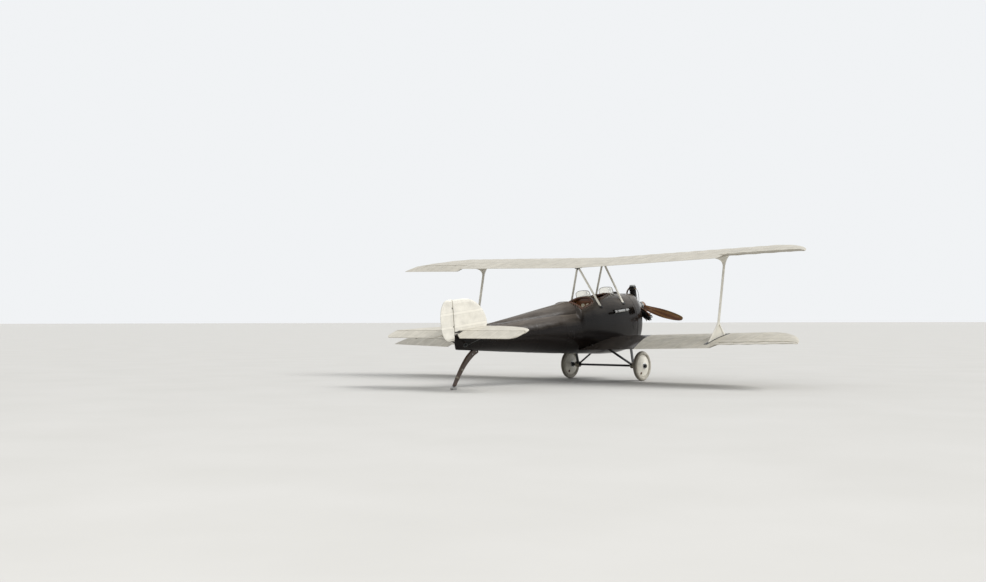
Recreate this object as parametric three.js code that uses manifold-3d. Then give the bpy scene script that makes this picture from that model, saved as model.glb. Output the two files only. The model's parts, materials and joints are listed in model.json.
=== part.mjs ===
// Two-seat light biplane with a three-cylinder radial engine, parked on two wheels and a tail skid.
// Millimetres. X points to port, Y points aft, Z points up, and the ground is at Z = 0.
// Everything is laid out level in the datum frame, whose origin is the middle of the wheel axle,
// and the whole aircraft is then tipped nose up about that axle onto its tail skid.

import * as THREE from 'three';
import { mergeVertices } from 'three/addons/utils/BufferGeometryUtils.js';
import Module from 'manifold-3d';

const wasm = await Module();
wasm.setup();

const SEAT_GAP = 0.3;

// Attitude on the ground
const TYRE_RADIUS = 266;
const NOSE_UP = THREE.MathUtils.degToRad(6.4);

// Wings
const SEMI_SPAN = 4270;
const CHORD = 1340;
const INCIDENCE = THREE.MathUtils.degToRad(2.5);
const DIHEDRAL = THREE.MathUtils.degToRad(1.45);
const UPPER_TRAILING_EDGE = { y: 690, z: 1842 };
const LOWER_TRAILING_EDGE = { y: 1140, z: 428 };
const SECTION_THICKNESS = 0.064;
const SECTION_CAMBER = 0.026;
const TIP_LENGTH = 950;
const TIP_STEPS = [950, 780, 600, 430, 290, 180, 100, 45, 12];
const TIP_INNER_POWER = 1.8;
const TIP_OUTER_POWER = 1.4;
const CENTRE_PANEL = 800;
const STUB_AT_LEADING_EDGE = 980;
const STUB_AT_TRAILING_EDGE = 1380;
const PANEL_GAP = 0.6;

// Ailerons
const AILERON_INBOARD = 2840;
const AILERON_CHORD = 300;
const AILERON_REST = THREE.MathUtils.degToRad(11);
const HINGE_GAP = 16;
const END_GAP = 12;

// Interplane struts
const STRUT_X = 2640;
const STRUT_FOOT = { rear: 262, middle: 590, front: 940, lift: 28 };
const STRUT_HEAD = { rear: 120, middle: 600, front: 850, lift: 8 };
const STRUT_CHORD = 66;
const STRUT_THICKNESS = 30;
const STRUT_WEB = 8;

// Body, from the engine bulkhead to the sternpost
const BODY_SECTIONS = [
  { y: -620, bottom: 205, top: 1262, halfWidth: 382, power: 2.25 },
  { y: -300, bottom: 195, top: 1290, halfWidth: 408, power: 2.3 },
  { y: 150, bottom: 228, top: 1300, halfWidth: 420, power: 2.35 },
  { y: 600, bottom: 292, top: 1297, halfWidth: 417, power: 2.35 },
  { y: 1080, bottom: 355, top: 1286, halfWidth: 396, power: 2.3 },
  { y: 1200, bottom: 374, top: 1168, halfWidth: 386, power: 2.3 },
  { y: 1700, bottom: 446, top: 1146, halfWidth: 352, power: 2.25 },
  { y: 2400, bottom: 553, top: 1122, halfWidth: 288, power: 2.2 },
  { y: 3100, bottom: 662, top: 1098, halfWidth: 206, power: 2.1 },
  { y: 3650, bottom: 750, top: 1078, halfWidth: 122, power: 2.05 },
  { y: 3980, bottom: 802, top: 1062, halfWidth: 52, power: 2 },
  { y: 4060, bottom: 816, top: 1056, halfWidth: 20, power: 2 },
];
const NOSE_SECTIONS = [
  { y: -620.3, bottom: 205, top: 1262, halfWidth: 382, power: 2.25 },
  { y: -800, bottom: 238, top: 1248, halfWidth: 342, power: 2.2 },
  { y: -920, bottom: 296, top: 1230, halfWidth: 280, power: 2.15 },
  { y: -980, bottom: 342, top: 1208, halfWidth: 238, power: 2.1 },
  { y: -1040, bottom: 405, top: 1140, halfWidth: 196, power: 2.05 },
  { y: -1090, bottom: 480, top: 1064, halfWidth: 150, power: 2 },
  { y: -1112, bottom: 560, top: 1000, halfWidth: 96, power: 2 },
];
const RING_POINTS = 28;
const WALL = 22;
const CABIN_STATIONS = [-585, -300, 150, 600, 1080, 1200];
const CABIN_END = 1260;

// Cockpits: two openings in one line that widens aft, with the screen's foot ahead of each
const FRONT_COCKPIT = { front: -245, rear: 420, frontRound: 200, rearRound: 90, screen: -271, seat: 170 };
const REAR_COCKPIT = { front: 520, rear: 1112, frontRound: 190, rearRound: 60, screen: 460, seat: 855 };
const COCKPIT_LINE = { halfWidth: 308, widestY: 1100, length: 1500, power: 1.8 };
const FLOOR_TOP = 430;

// Headrest fairing behind the rear cockpit
const FAIRING_SECTIONS = [
  { y: 1122, top: 1286, halfWidth: 300 },
  { y: 1300, top: 1268, halfWidth: 278 },
  { y: 1700, top: 1240, halfWidth: 232 },
  { y: 2100, top: 1213, halfWidth: 186 },
  { y: 2500, top: 1184, halfWidth: 138 },
  { y: 2900, top: 1158, halfWidth: 92 },
  { y: 3290, top: 1132, halfWidth: 46 },
];

// Engine and propeller
const CRANK_Z = 950;
const CYLINDER_PLANE = -1085;
const CYLINDER_TIP = 434;
const CYLINDER_BASE = 118;
const BARREL_RADIUS = 52;
const FIN_RADIUS = 66;
const FIN_COUNT = 6;
const CRANKCASE_RADIUS = 126;
const CRANKCASE_FRONT = -1268;
const HUB_FRONT = -1392;
const PROPELLER_RADIUS = 940;
const PROPELLER_PLANE = -1335;
const BOSS_LENGTH = 72;
const PROPELLER_PARKED = THREE.MathUtils.degToRad(75);

// Tail
const ELEVATOR_HINGE_Y = 3985;
const RUDDER_HINGE_Y = 4078;
const TAILPLANE_Z = 1092;
const TAILPLANE_FRONT = 3240;
const TAIL_SEMI_SPAN = 1355;
const TAIL_THICKNESS = 44;
const TAILPLANE_WIDEST_Y = 4100;
const ELEVATOR_CHORD = 285;
const ELEVATOR_REST = THREE.MathUtils.degToRad(14);
const RUDDER_CHORD = 282;
const RUDDER_BOTTOM = 960;
const RUDDER_TOP = 1612;
const FIN_FRONT = 3262;
const FIN_THICKNESS = 40;
const TAIL_HINGE_GAP = 14;

// Undercarriage
const TRACK_HALF = 795;
const TYRE_SECTION = 38;
const HUB_HALF_WIDTH = 62;
const AXLE_RADIUS = 19;
const LEG_AXLE_X = 610;
const LEG_FRONT = { x: 300, y: -420 };
const LEG_REAR = { x: 312, y: 470 };
const LEG_CHORD = 58;
const LEG_THICKNESS = 26;

const FABRIC = { color: 0xd9d5c9, roughness: 0.7 };
const DARK_SKIN = { color: 0x1d1917, roughness: 0.3 };
const BARE_METAL = { color: 0x9b9c9c, roughness: 0.4, metalness: 0.9 };
const DARK_METAL = { color: 0x3a3a3b, roughness: 0.5, metalness: 0.8 };
const PALE_PAINT = { color: 0xdedbd1, roughness: 0.5 };
const WOOD = { color: 0x6b4526, roughness: 0.4 };
const LEATHER = { color: 0x3b2419, roughness: 0.6 };
const RUBBER = { color: 0xb9b6ae, roughness: 0.85 };
const GLASS = { color: 0xdfe6e6, roughness: 0.05 };

// Closed geometry from a list of equal rings of points, with flat ends
function loft(rings) {
  const count = rings[0].length;
  const positions = rings.flat().flatMap((point) => [point.x, point.y, point.z]);
  const index = [];
  for (let ring = 0; ring < rings.length - 1; ring++) {
    for (let i = 0; i < count; i++) {
      const a = ring * count + i;
      const b = ring * count + ((i + 1) % count);
      index.push(a, b, b + count, a, b + count, a + count);
    }
  }
  const last = (rings.length - 1) * count;
  for (const [a, b, c] of capTriangles(rings[0])) index.push(c, b, a);
  for (const [a, b, c] of capTriangles(rings.at(-1))) index.push(last + a, last + b, last + c);
  const geometry = new THREE.BufferGeometry();
  geometry.setAttribute('position', new THREE.Float32BufferAttribute(positions, 3));
  geometry.setIndex(index);
  return facingOut(geometry);
}

// Triangles that fill one flat ring, wound the way the ring runs
function capTriangles(ring) {
  const normal = new THREE.Vector3();
  ring.forEach((point, i) => normal.add(point.clone().cross(ring[(i + 1) % ring.length])));
  const drop = ['x', 'y', 'z'].reduce((a, b) => (Math.abs(normal[b]) > Math.abs(normal[a]) ? b : a));
  const [u, v] = { x: ['y', 'z'], y: ['z', 'x'], z: ['x', 'y'] }[drop];
  const flat = ring.map((point) => new THREE.Vector2(point[u], point[v]));
  const along = THREE.ShapeUtils.isClockWise(flat) ? -1 : 1;
  return THREE.ShapeUtils.triangulateShape(flat, []).map(([a, b, c]) => {
    const area = (flat[b].x - flat[a].x) * (flat[c].y - flat[a].y)
      - (flat[c].x - flat[a].x) * (flat[b].y - flat[a].y);
    return area * along > 0 ? [a, b, c] : [c, b, a];
  });
}

function signedVolume(geometry) {
  const position = geometry.getAttribute('position');
  const index = geometry.getIndex();
  const corner = [new THREE.Vector3(), new THREE.Vector3(), new THREE.Vector3()];
  let volume = 0;
  for (let i = 0; i < index.count; i += 3) {
    corner.forEach((point, k) => point.fromBufferAttribute(position, index.getX(i + k)));
    volume += corner[0].dot(corner[1].clone().cross(corner[2])) / 6;
  }
  return volume;
}

function facingOut(geometry) {
  if (signedVolume(geometry) > 0) return geometry;
  const index = geometry.getIndex();
  for (let i = 0; i < index.count; i += 3) {
    const first = index.getX(i);
    index.setX(i, index.getX(i + 2));
    index.setX(i + 2, first);
  }
  return geometry;
}

function merged(geometry) {
  const bare = geometry.clone();
  bare.deleteAttribute('normal');
  bare.deleteAttribute('uv');
  return facingOut(mergeVertices(bare, 1e-3));
}

function solid(geometry) {
  const closed = merged(geometry);
  return new wasm.Manifold(new wasm.Mesh({
    numProp: 3,
    vertProperties: new Float32Array(closed.getAttribute('position').array),
    triVerts: new Uint32Array(closed.getIndex().array),
  }));
}

function geometryOf(manifold) {
  const { vertProperties, triVerts } = manifold.getMesh();
  const geometry = new THREE.BufferGeometry();
  geometry.setAttribute('position', new THREE.BufferAttribute(new Float32Array(vertProperties), 3));
  geometry.setIndex(new THREE.BufferAttribute(new Uint32Array(triVerts), 1));
  return geometry;
}

function cut(geometry, ...tools) {
  return geometryOf(tools.reduce((whole, tool) => whole.subtract(solid(tool)), solid(geometry)));
}

function join(geometry, ...others) {
  return geometryOf(others.reduce((whole, other) => whole.add(solid(other)), solid(geometry)));
}

function common(geometry, other) {
  return geometryOf(solid(geometry).intersect(solid(other)));
}

function box(x0, x1, y0, y1, z0, z1) {
  const geometry = new THREE.BoxGeometry(Math.abs(x1 - x0), Math.abs(y1 - y0), Math.abs(z1 - z0));
  return geometry.translate((x0 + x1) / 2, (y0 + y1) / 2, (z0 + z1) / 2);
}

function mirrored(geometry) {
  const copy = merged(geometry).applyMatrix4(new THREE.Matrix4().makeScale(-1, 1, 1));
  return facingOut(copy);
}

// A prism of a closed outline in the plane given by two axis names, from one depth to another
function prism(outline, axes, from, to) {
  const third = ['x', 'y', 'z'].find((axis) => !axes.includes(axis));
  const ring = (depth) => outline.map(([u, v]) => {
    const point = new THREE.Vector3();
    point[axes[0]] = u;
    point[axes[1]] = v;
    point[third] = depth;
    return point;
  });
  return loft([ring(from), ring(to)]);
}

// A round bar between two points
function bar(start, end, radius, sides = 12) {
  const length = start.distanceTo(end);
  const geometry = new THREE.CylinderGeometry(radius, radius, length, sides);
  const turn = new THREE.Quaternion().setFromUnitVectors(
    new THREE.Vector3(0, 1, 0), end.clone().sub(start).normalize());
  const middle = start.clone().add(end).multiplyScalar(0.5);
  return geometry.applyQuaternion(turn).translate(middle.x, middle.y, middle.z);
}

// A streamlined bar between two points, its chord lying fore and aft
function fairedBar(start, end, chord, thickness, points = 10) {
  const axis = end.clone().sub(start).normalize();
  const aft = new THREE.Vector3(0, 1, 0);
  aft.addScaledVector(axis, -aft.dot(axis)).normalize();
  const across = axis.clone().cross(aft);
  const ring = (centre) => Array.from({ length: points }, (_, i) => {
    const angle = (2 * Math.PI * i) / points;
    return centre.clone()
      .addScaledVector(aft, (Math.cos(angle) * chord) / 2)
      .addScaledVector(across, (Math.sin(angle) * thickness) / 2);
  });
  return loft([ring(start), ring(end)]);
}

// One cross-section of the body: a rounded oval, grown outwards by a margin
function ovalRing({ y, bottom, top, halfWidth, power }, grow = 0, points = RING_POINTS) {
  const middle = (top + bottom) / 2;
  const halfHeight = (top - bottom) / 2 + grow;
  const width = halfWidth + grow;
  return Array.from({ length: points }, (_, i) => {
    const angle = (2 * Math.PI * i) / points;
    const c = Math.cos(angle);
    const s = Math.sin(angle);
    const x = width * Math.sign(c) * Math.abs(c) ** (2 / power);
    const z = middle + halfHeight * Math.sign(s) * Math.abs(s) ** (2 / power);
    return new THREE.Vector3(x, y, z);
  });
}

// The same sections with both ends moved outwards by a margin
function lengthened(sections, grow) {
  const last = sections.length - 1;
  const shift = (i) => (i === 0 ? -grow : 0) + (i === last ? grow : 0);
  return sections.map((section, i) => ({ ...section, y: section.y + shift(i) }));
}

function bodyLoft(grow = 0) {
  return loft(lengthened(BODY_SECTIONS, grow).map((section) => ovalRing(section, grow)));
}

function fairingRing({ y, top, halfWidth }, grow = 0) {
  const foot = 1000;
  const width = halfWidth + grow;
  const height = top + grow - foot;
  return Array.from({ length: 13 }, (_, i) => {
    const angle = (Math.PI * i) / 12;
    return new THREE.Vector3(
      width * Math.cos(angle) * (1 - 0.18 * Math.sin(angle)), y, foot + height * Math.sin(angle) ** 0.8);
  });
}

function fairingLoft(grow = 0) {
  return loft(lengthened(FAIRING_SECTIONS, grow).map((section) => fairingRing(section, grow)));
}

// Height of the body's skin above a point in plan
function sectionAt(y) {
  const after = BODY_SECTIONS.findIndex((section) => section.y >= y);
  const a = BODY_SECTIONS[Math.max(after - 1, 0)];
  const b = BODY_SECTIONS[Math.max(after, 0)];
  const t = a === b ? 0 : (y - a.y) / (b.y - a.y);
  const blend = (key) => a[key] + (b[key] - a[key]) * t;
  return {
    y, bottom: blend('bottom'), top: blend('top'), halfWidth: blend('halfWidth'), power: blend('power'),
  };
}

function skinHeight(x, y, side = 1) {
  const { bottom, top, halfWidth, power } = sectionAt(y);
  const reach = (1 - Math.min(Math.abs(x) / halfWidth, 1) ** power) ** (1 / power);
  return (top + bottom) / 2 + side * reach * (top - bottom) / 2;
}

// Wing section: camber and thickness curves along the chord, from 0 at the nose to 1 at the tail
function camberAt(t) {
  const crest = 0.4;
  const k = t < crest ? crest : 1 - crest;
  return (SECTION_CAMBER / (k * k)) * (t < crest
    ? 2 * crest * t - t * t
    : 1 - 2 * crest + 2 * crest * t - t * t);
}

function halfThicknessAt(t) {
  const curve = 0.2969 * Math.sqrt(t) - 0.126 * t - 0.3516 * t ** 2 + 0.2843 * t ** 3 - 0.1015 * t ** 4;
  return 5 * SECTION_THICKNESS * curve;
}

const SECTION_STEPS = [1, 0.9, 0.78, 0.64, 0.5, 0.36, 0.22, 0.11, 0.035, 0];

function wingRing(edge, x, chord) {
  const upper = SECTION_STEPS.map((t) => [t, camberAt(t) + halfThicknessAt(t)]);
  const lower = SECTION_STEPS.slice(1, -1).reverse()
    .map((t) => [t, camberAt(t) - halfThicknessAt(t)]);
  const tail = [1, camberAt(1) - halfThicknessAt(1)];
  const slopeUp = Math.tan(DIHEDRAL) * Math.abs(x);
  return [...upper, ...lower, tail].map(([t, height]) => {
    const ahead = (1 - t) * chord;
    const up = height * chord;
    return new THREE.Vector3(
      x,
      edge.y - ahead * Math.cos(INCIDENCE),
      edge.z + slopeUp + ahead * Math.sin(INCIDENCE) + up,
    );
  });
}

// Chord left at a distance in from the tip, where the leading edge sweeps back to the trailing edge
function chordNearTip(inFromTip) {
  const left = 1 - Math.min(inFromTip / TIP_LENGTH, 1);
  return CHORD * (1 - left ** TIP_INNER_POWER) ** (1 / TIP_OUTER_POWER);
}

function wingLoft(edge, from, to = SEMI_SPAN) {
  const stations = [from, ...TIP_STEPS.map((inward) => SEMI_SPAN - inward)]
    .filter((x) => x >= from && x < to);
  if (to < SEMI_SPAN) stations.push(to);
  return loft(stations.map((x) => wingRing(edge, x, chordNearTip(SEMI_SPAN - Math.abs(x)))));
}

// Point on a wing's mean line, at a distance ahead of the trailing edge
function wingPoint(edge, x, ahead, lift = 0) {
  return new THREE.Vector3(
    x,
    edge.y - ahead * Math.cos(INCIDENCE),
    edge.z + Math.tan(DIHEDRAL) * Math.abs(x) + ahead * Math.sin(INCIDENCE) + lift,
  );
}

function sectionHeight(ahead, side) {
  const t = 1 - ahead / CHORD;
  return (camberAt(t) + side * halfThicknessAt(t)) * CHORD;
}

// The aileron turns about an axis on the section's mean line, just behind its nose
const AILERON_AXIS_AHEAD = AILERON_CHORD - 24;
const AILERON_HINGES = [3120, 3900];
const HINGE_NOTCH = { halfWidth: 34, depth: 62 };

function aileronAxis(edge) {
  const lift = (camberAt(1 - AILERON_AXIS_AHEAD / CHORD)) * CHORD;
  return {
    start: wingPoint(edge, AILERON_INBOARD, AILERON_AXIS_AHEAD, lift),
    end: wingPoint(edge, SEMI_SPAN, AILERON_AXIS_AHEAD, lift),
  };
}

function behindHinge(edge, from, ahead) {
  const outline = [
    [from, edge.y - ahead], [SEMI_SPAN + 50, edge.y - ahead],
    [SEMI_SPAN + 50, edge.y + 200], [from, edge.y + 200],
  ];
  return prism(outline, ['x', 'y'], edge.z - 200, edge.z + 500);
}

function wingPanel(edge, from) {
  const whole = wingLoft(edge, from);
  const bay = behindHinge(edge, AILERON_INBOARD - END_GAP, AILERON_CHORD + HINGE_GAP);
  const axis = aileronAxis(edge);
  const brackets = AILERON_HINGES.map((x) => {
    const centre = axis.start.clone().lerp(axis.end, (x - AILERON_INBOARD) / (SEMI_SPAN - AILERON_INBOARD));
    const arm = box(x - 5, x + 5, centre.y - 52, centre.y + 5, centre.z - 7, centre.z + 7);
    const along = new THREE.Vector3(HINGE_NOTCH.halfWidth - SEAT_GAP, 0, 0);
    along.z = along.x * Math.tan(DIHEDRAL);
    return join(arm, bar(centre.clone().sub(along), centre.clone().add(along), 7, 10));
  });
  return join(cut(whole, bay), ...brackets);
}

function aileron(edge) {
  const bay = behindHinge(edge, AILERON_INBOARD, AILERON_CHORD);
  const blank = common(wingLoft(edge, AILERON_INBOARD - 200), bay);
  const notches = AILERON_HINGES.map((x) => box(
    x - HINGE_NOTCH.halfWidth, x + HINGE_NOTCH.halfWidth,
    edge.y - AILERON_CHORD - 20, edge.y - AILERON_CHORD + HINGE_NOTCH.depth,
    edge.z - 200, edge.z + 500));
  return cut(blank, ...notches);
}

// Turn a piece about the line through two points
function turned(geometry, { start, end }, angle) {
  const axis = end.clone().sub(start).normalize();
  return geometry.clone()
    .translate(-start.x, -start.y, -start.z)
    .applyMatrix4(new THREE.Matrix4().makeRotationAxis(axis, angle))
    .translate(start.x, start.y, start.z);
}

// Interplane strut: one faired post with a flared head and a splayed foot
const STRUT_STATIONS = [
  { at: 0, spread: 1, thickness: 1 },
  { at: 0.06, spread: 0.72, thickness: 1 },
  { at: 0.12, spread: 0.42, thickness: 1.05 },
  { at: 0.18, spread: 0.14, thickness: 1.15 },
  { at: 0.215, spread: 0, thickness: 1.15 },
  { at: 0.85, spread: 0, thickness: 1 },
  { at: 0.885, spread: 0.06, thickness: 1 },
  { at: 0.915, spread: 0.17, thickness: 1 },
  { at: 0.945, spread: 0.38, thickness: 1 },
  { at: 0.97, spread: 0.7, thickness: 1 },
  { at: 1, spread: 1, thickness: 1 },
];
const STRUT_FOOT_TOP = 0.19;
const STRUT_FOOT_RIM = 46;

function strutEnd(edge, { rear, middle, front, lift }) {
  return {
    rear: wingPoint(edge, STRUT_X, rear, lift),
    middle: wingPoint(edge, STRUT_X, middle, lift),
    front: wingPoint(edge, STRUT_X, front, lift),
  };
}

function strutRing(low, high, { at, spread, thickness }) {
  const centre = low.middle.clone().lerp(high.middle, at);
  const end = at < 0.5 ? low : high;
  const aft = end.rear.clone().sub(end.front).normalize();
  const reach = (point) => {
    const full = point.distanceTo(end.middle);
    return STRUT_CHORD / 2 + (full - STRUT_CHORD / 2) * spread;
  };
  const rearReach = reach(end.rear);
  const frontReach = reach(end.front);
  const sides = 12;
  return Array.from({ length: sides }, (_, i) => {
    const angle = (2 * Math.PI * i) / sides;
    const along = Math.cos(angle) * (Math.cos(angle) > 0 ? rearReach : frontReach);
    const across = (Math.sin(angle) * STRUT_THICKNESS * thickness) / 2;
    return centre.clone().addScaledVector(aft, along).add(new THREE.Vector3(across, 0, 0));
  });
}

// Triangle inside the foot's rim, thinned to a web from one face
function strutWindow(low, high, side) {
  const crown = low.middle.clone().lerp(high.middle, STRUT_FOOT_TOP);
  const outline = [
    [low.rear.y - 2 * STRUT_FOOT_RIM, low.rear.z], [low.front.y + 2 * STRUT_FOOT_RIM, low.front.z],
    [crown.y, crown.z],
  ];
  const face = STRUT_X + (side * STRUT_WEB) / 2;
  return prism(outline, ['y', 'z'], Math.min(face, face + side * 60), Math.max(face, face + side * 60));
}

function strut() {
  const low = strutEnd(LOWER_TRAILING_EDGE, STRUT_FOOT);
  const high = strutEnd(UPPER_TRAILING_EDGE, STRUT_HEAD);
  const post = loft(STRUT_STATIONS.map((station) => strutRing(low, high, station)));
  const upper = wingLoft(UPPER_TRAILING_EDGE, 1500).translate(0, 0, -SEAT_GAP);
  const lower = wingLoft(LOWER_TRAILING_EDGE, 1500).translate(0, 0, SEAT_GAP);
  return cut(post, upper, lower, strutWindow(low, high, 1), strutWindow(low, high, -1));
}

// Cabane: an inverted V from the body's shoulders to the upper wing's centre line
function cabane(apexY, footX, footY) {
  const ahead = UPPER_TRAILING_EDGE.y - apexY;
  const apexHeight = wingPoint(UPPER_TRAILING_EDGE, 0, ahead, sectionHeight(ahead, -1) + 14).z;
  const footZ = skinHeight(footX, footY) - 60;
  const leg = (side) => fairedBar(
    new THREE.Vector3(side * footX, footY, footZ), new THREE.Vector3(side * 4, apexY, apexHeight), 52, 26);
  const foot = join(leg(1), leg(-1));
  return cut(foot, bodyLoft(SEAT_GAP), overCentrePanel().translate(0, 0, -SEAT_GAP));
}

// All that lies over the underside of the middle of the upper wing, where what meets it from below ends
function overCentrePanel() {
  const height = 150;
  const lift = new THREE.Vector3(0, 0, height);
  return loft([-CENTRE_PANEL / 2, 0, CENTRE_PANEL / 2].map((x) => {
    const under = wingRing(UPPER_TRAILING_EDGE, x, CHORD).slice(SECTION_STEPS.length - 1);
    return [...under.map((point) => point.clone().add(lift)).reverse(), ...under];
  }));
}

function centrePanel() {
  const half = CENTRE_PANEL - PANEL_GAP / 2;
  return loft([-half, 0, half].map((x) => wingRing(UPPER_TRAILING_EDGE, x, CHORD)));
}

// Lower wing split into a dark stub and a fabric panel along a slanting joint
function stubRegion(side, offset) {
  const front = LOWER_TRAILING_EDGE.y - CHORD - 100;
  const back = LOWER_TRAILING_EDGE.y + 100;
  const slope = (STUB_AT_TRAILING_EDGE - STUB_AT_LEADING_EDGE) / CHORD;
  const xFront = STUB_AT_LEADING_EDGE - 100 * slope + offset;
  const xBack = STUB_AT_TRAILING_EDGE + 100 * slope + offset;
  const outer = side > 0 ? 5000 : 0;
  return prism([[xFront, front], [outer, front], [outer, back], [xBack, back]], ['x', 'y'], 0, 1500);
}

function lowerStub() {
  const whole = wingLoft(LOWER_TRAILING_EDGE, 180, 2200);
  return cut(whole, stubRegion(1, -PANEL_GAP / 2), bodyLoft(SEAT_GAP));
}

function lowerPanel() {
  return cut(wingPanel(LOWER_TRAILING_EDGE, 700), stubRegion(-1, PANEL_GAP / 2));
}

// Hollow front part of the body
function cabinLoft() {
  return loft([...CABIN_STATIONS, CABIN_END].map((y) => ovalRing(sectionAt(y), -WALL)));
}

// Fits a flat plate to the inside of the hollow body
function fittedInside(plate) {
  return common(plate, loft(CABIN_STATIONS.map((y) => ovalRing(sectionAt(y), -WALL - SEAT_GAP))));
}

// Half width of a cockpit opening, rounded off at its front and rear
function openingHalfWidth({ front, rear, frontRound, rearRound }, y) {
  const { halfWidth, widestY, length, power } = COCKPIT_LINE;
  const line = halfWidth * (1 - (Math.max(widestY - y, 0) / length) ** power);
  const ahead = Math.max(front + frontRound - y, 0) / frontRound;
  const behind = Math.max(y - rear + rearRound, 0) / rearRound;
  return line * Math.sqrt(Math.max(1 - ahead ** 2, 0)) * Math.sqrt(Math.max(1 - behind ** 2, 0));
}

function openingPrism(cockpit) {
  const { front, rear } = cockpit;
  const count = 15;
  const half = Array.from({ length: count - 1 }, (_, i) => {
    const y = (front + rear) / 2 - ((rear - front) / 2) * Math.cos((Math.PI * (i + 1)) / count);
    return [openingHalfWidth(cockpit, y), y];
  });
  const outline = [[0, front], ...half, [0, rear], ...half.reverse().map(([x, y]) => [-x, y])];
  return prism(outline, ['x', 'y'], 900, 1700);
}

function body() {
  return cut(bodyLoft(), cabinLoft(), openingPrism(FRONT_COCKPIT), openingPrism(REAR_COCKPIT));
}

function floor() {
  return fittedInside(box(-500, 500, -560, 1190, FLOOR_TOP - 18, FLOOR_TOP));
}

function instrumentPanel({ front }) {
  const face = front - 24;
  return fittedInside(box(-500, 500, face - 12, face, 930, 1400));
}

// Bucket seat: a scooped shell standing on two runners
function seat(y) {
  const halfWidth = 205;
  const base = FLOOR_TOP + SEAT_GAP;
  const outline = [
    [y - 190, base + 150], [y - 190, base + 235], [y - 150, base + 240], [y - 120, base + 185],
    [y + 120, base + 165], [y + 165, base + 215], [y + 215, base + 560], [y + 245, base + 560],
    [y + 225, base + 180], [y + 170, base + 130], [y - 150, base + 150],
  ];
  const shell = prism(outline, ['y', 'z'], -halfWidth, halfWidth);
  const runners = [-1, 1].map((side) => box(
    side * 150 - 14, side * 150 + 14, y - 120, y + 140, base, base + 160));
  return join(shell, ...runners);
}

function windscreen({ screen }) {
  const outline = [];
  const count = 10;
  for (let i = 0; i <= count; i++) {
    const angle = -Math.PI / 2.6 + ((Math.PI / 1.3) * i) / count;
    outline.push([Math.sin(angle) * 180, -Math.cos(angle) * 110]);
  }
  const inner = outline.map(([x, depth]) => [x * 0.975, depth + 6]).reverse();
  const lean = 0.32;
  const ring = (z) => [...outline, ...inner].map(([x, depth]) => (
    new THREE.Vector3(x * (1 - (z - 1150) * 0.0004), screen + 105 + depth + (z - 1290) * lean, z)));
  return cut(loft([ring(1150), ring(1290 + 130)]), bodyLoft(SEAT_GAP));
}

// Engine cylinder with cooling fins, standing on +Z from the crank centre
function cylinder() {
  const flange = BARREL_RADIUS + 6;
  const profile = [[0, CYLINDER_BASE], [flange, CYLINDER_BASE], [flange, CYLINDER_BASE + 12]];
  const first = CYLINDER_BASE + 26;
  const pitch = (CYLINDER_TIP - 62 - first) / FIN_COUNT;
  for (let i = 0; i < FIN_COUNT; i++) {
    const z = first + i * pitch;
    const reach = FIN_RADIUS + i;
    profile.push([BARREL_RADIUS - 6, z], [reach, z + 3], [reach, z + 8], [BARREL_RADIUS - 6, z + 11]);
  }
  const headTop = CYLINDER_TIP - 34;
  profile.push([BARREL_RADIUS - 2, headTop - 16], [BARREL_RADIUS - 14, headTop], [0, headTop]);
  const barrel = new THREE.LatheGeometry(profile.map(([r, z]) => new THREE.Vector2(r, z)), 12);
  barrel.rotateX(Math.PI / 2);
  const rockers = [-1, 1].map((side) => box(
    side * 30 - 13, side * 30 + 13, -38, 38, CYLINDER_TIP - 58, CYLINDER_TIP));
  const pushrods = [-1, 1].map((side) => bar(
    new THREE.Vector3(side * 34, -78, CYLINDER_BASE + 4),
    new THREE.Vector3(side * 30, -34, CYLINDER_TIP - 30), 7, 6));
  return join(barrel, ...rockers, ...pushrods);
}

const CYLINDER_ANGLES = [
  { name: 'top', angle: 0 },
  { name: 'left', angle: 120 },
  { name: 'right', angle: -120 },
];

function placedCylinder(geometry, angle) {
  return geometry.clone()
    .rotateY(THREE.MathUtils.degToRad(angle))
    .translate(0, CYLINDER_PLANE, CRANK_Z);
}

// Space that a cylinder needs in the cowl
function cylinderWell() {
  const well = new THREE.CylinderGeometry(FIN_RADIUS + 22, FIN_RADIUS + 22, CYLINDER_TIP, 16);
  return well.rotateX(Math.PI / 2).translate(0, 0, CYLINDER_TIP / 2 + 30);
}

function noseCowl() {
  const drum = new THREE.CylinderGeometry(CRANKCASE_RADIUS + 1, CRANKCASE_RADIUS + 1, 400, 24)
    .translate(0, -1190, CRANK_Z);
  const wells = CYLINDER_ANGLES.map(({ angle }) => placedCylinder(cylinderWell(), angle));
  return cut(loft(NOSE_SECTIONS.map((section) => ovalRing(section))), drum, ...wells);
}

function crankcase() {
  const back = -990 - SEAT_GAP;
  const profile = [
    [0, back], [CRANKCASE_RADIUS, back], [CRANKCASE_RADIUS, -1178], [112, -1196],
    [96, -1215], [74, -1236], [58, CRANKCASE_FRONT], [0, CRANKCASE_FRONT],
  ].map(([radius, y]) => new THREE.Vector2(radius, -y));
  const drum = new THREE.LatheGeometry(profile, 24).rotateX(Math.PI);
  drum.translate(0, 0, CRANK_Z);
  const seats = CYLINDER_ANGLES.map(({ angle }) => placedCylinder(
    new THREE.CylinderGeometry(90, 90, 400, 20).rotateX(Math.PI / 2)
      .translate(0, 0, 200 + CYLINDER_BASE - SEAT_GAP), angle));
  return cut(drum, ...seats);
}

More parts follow.
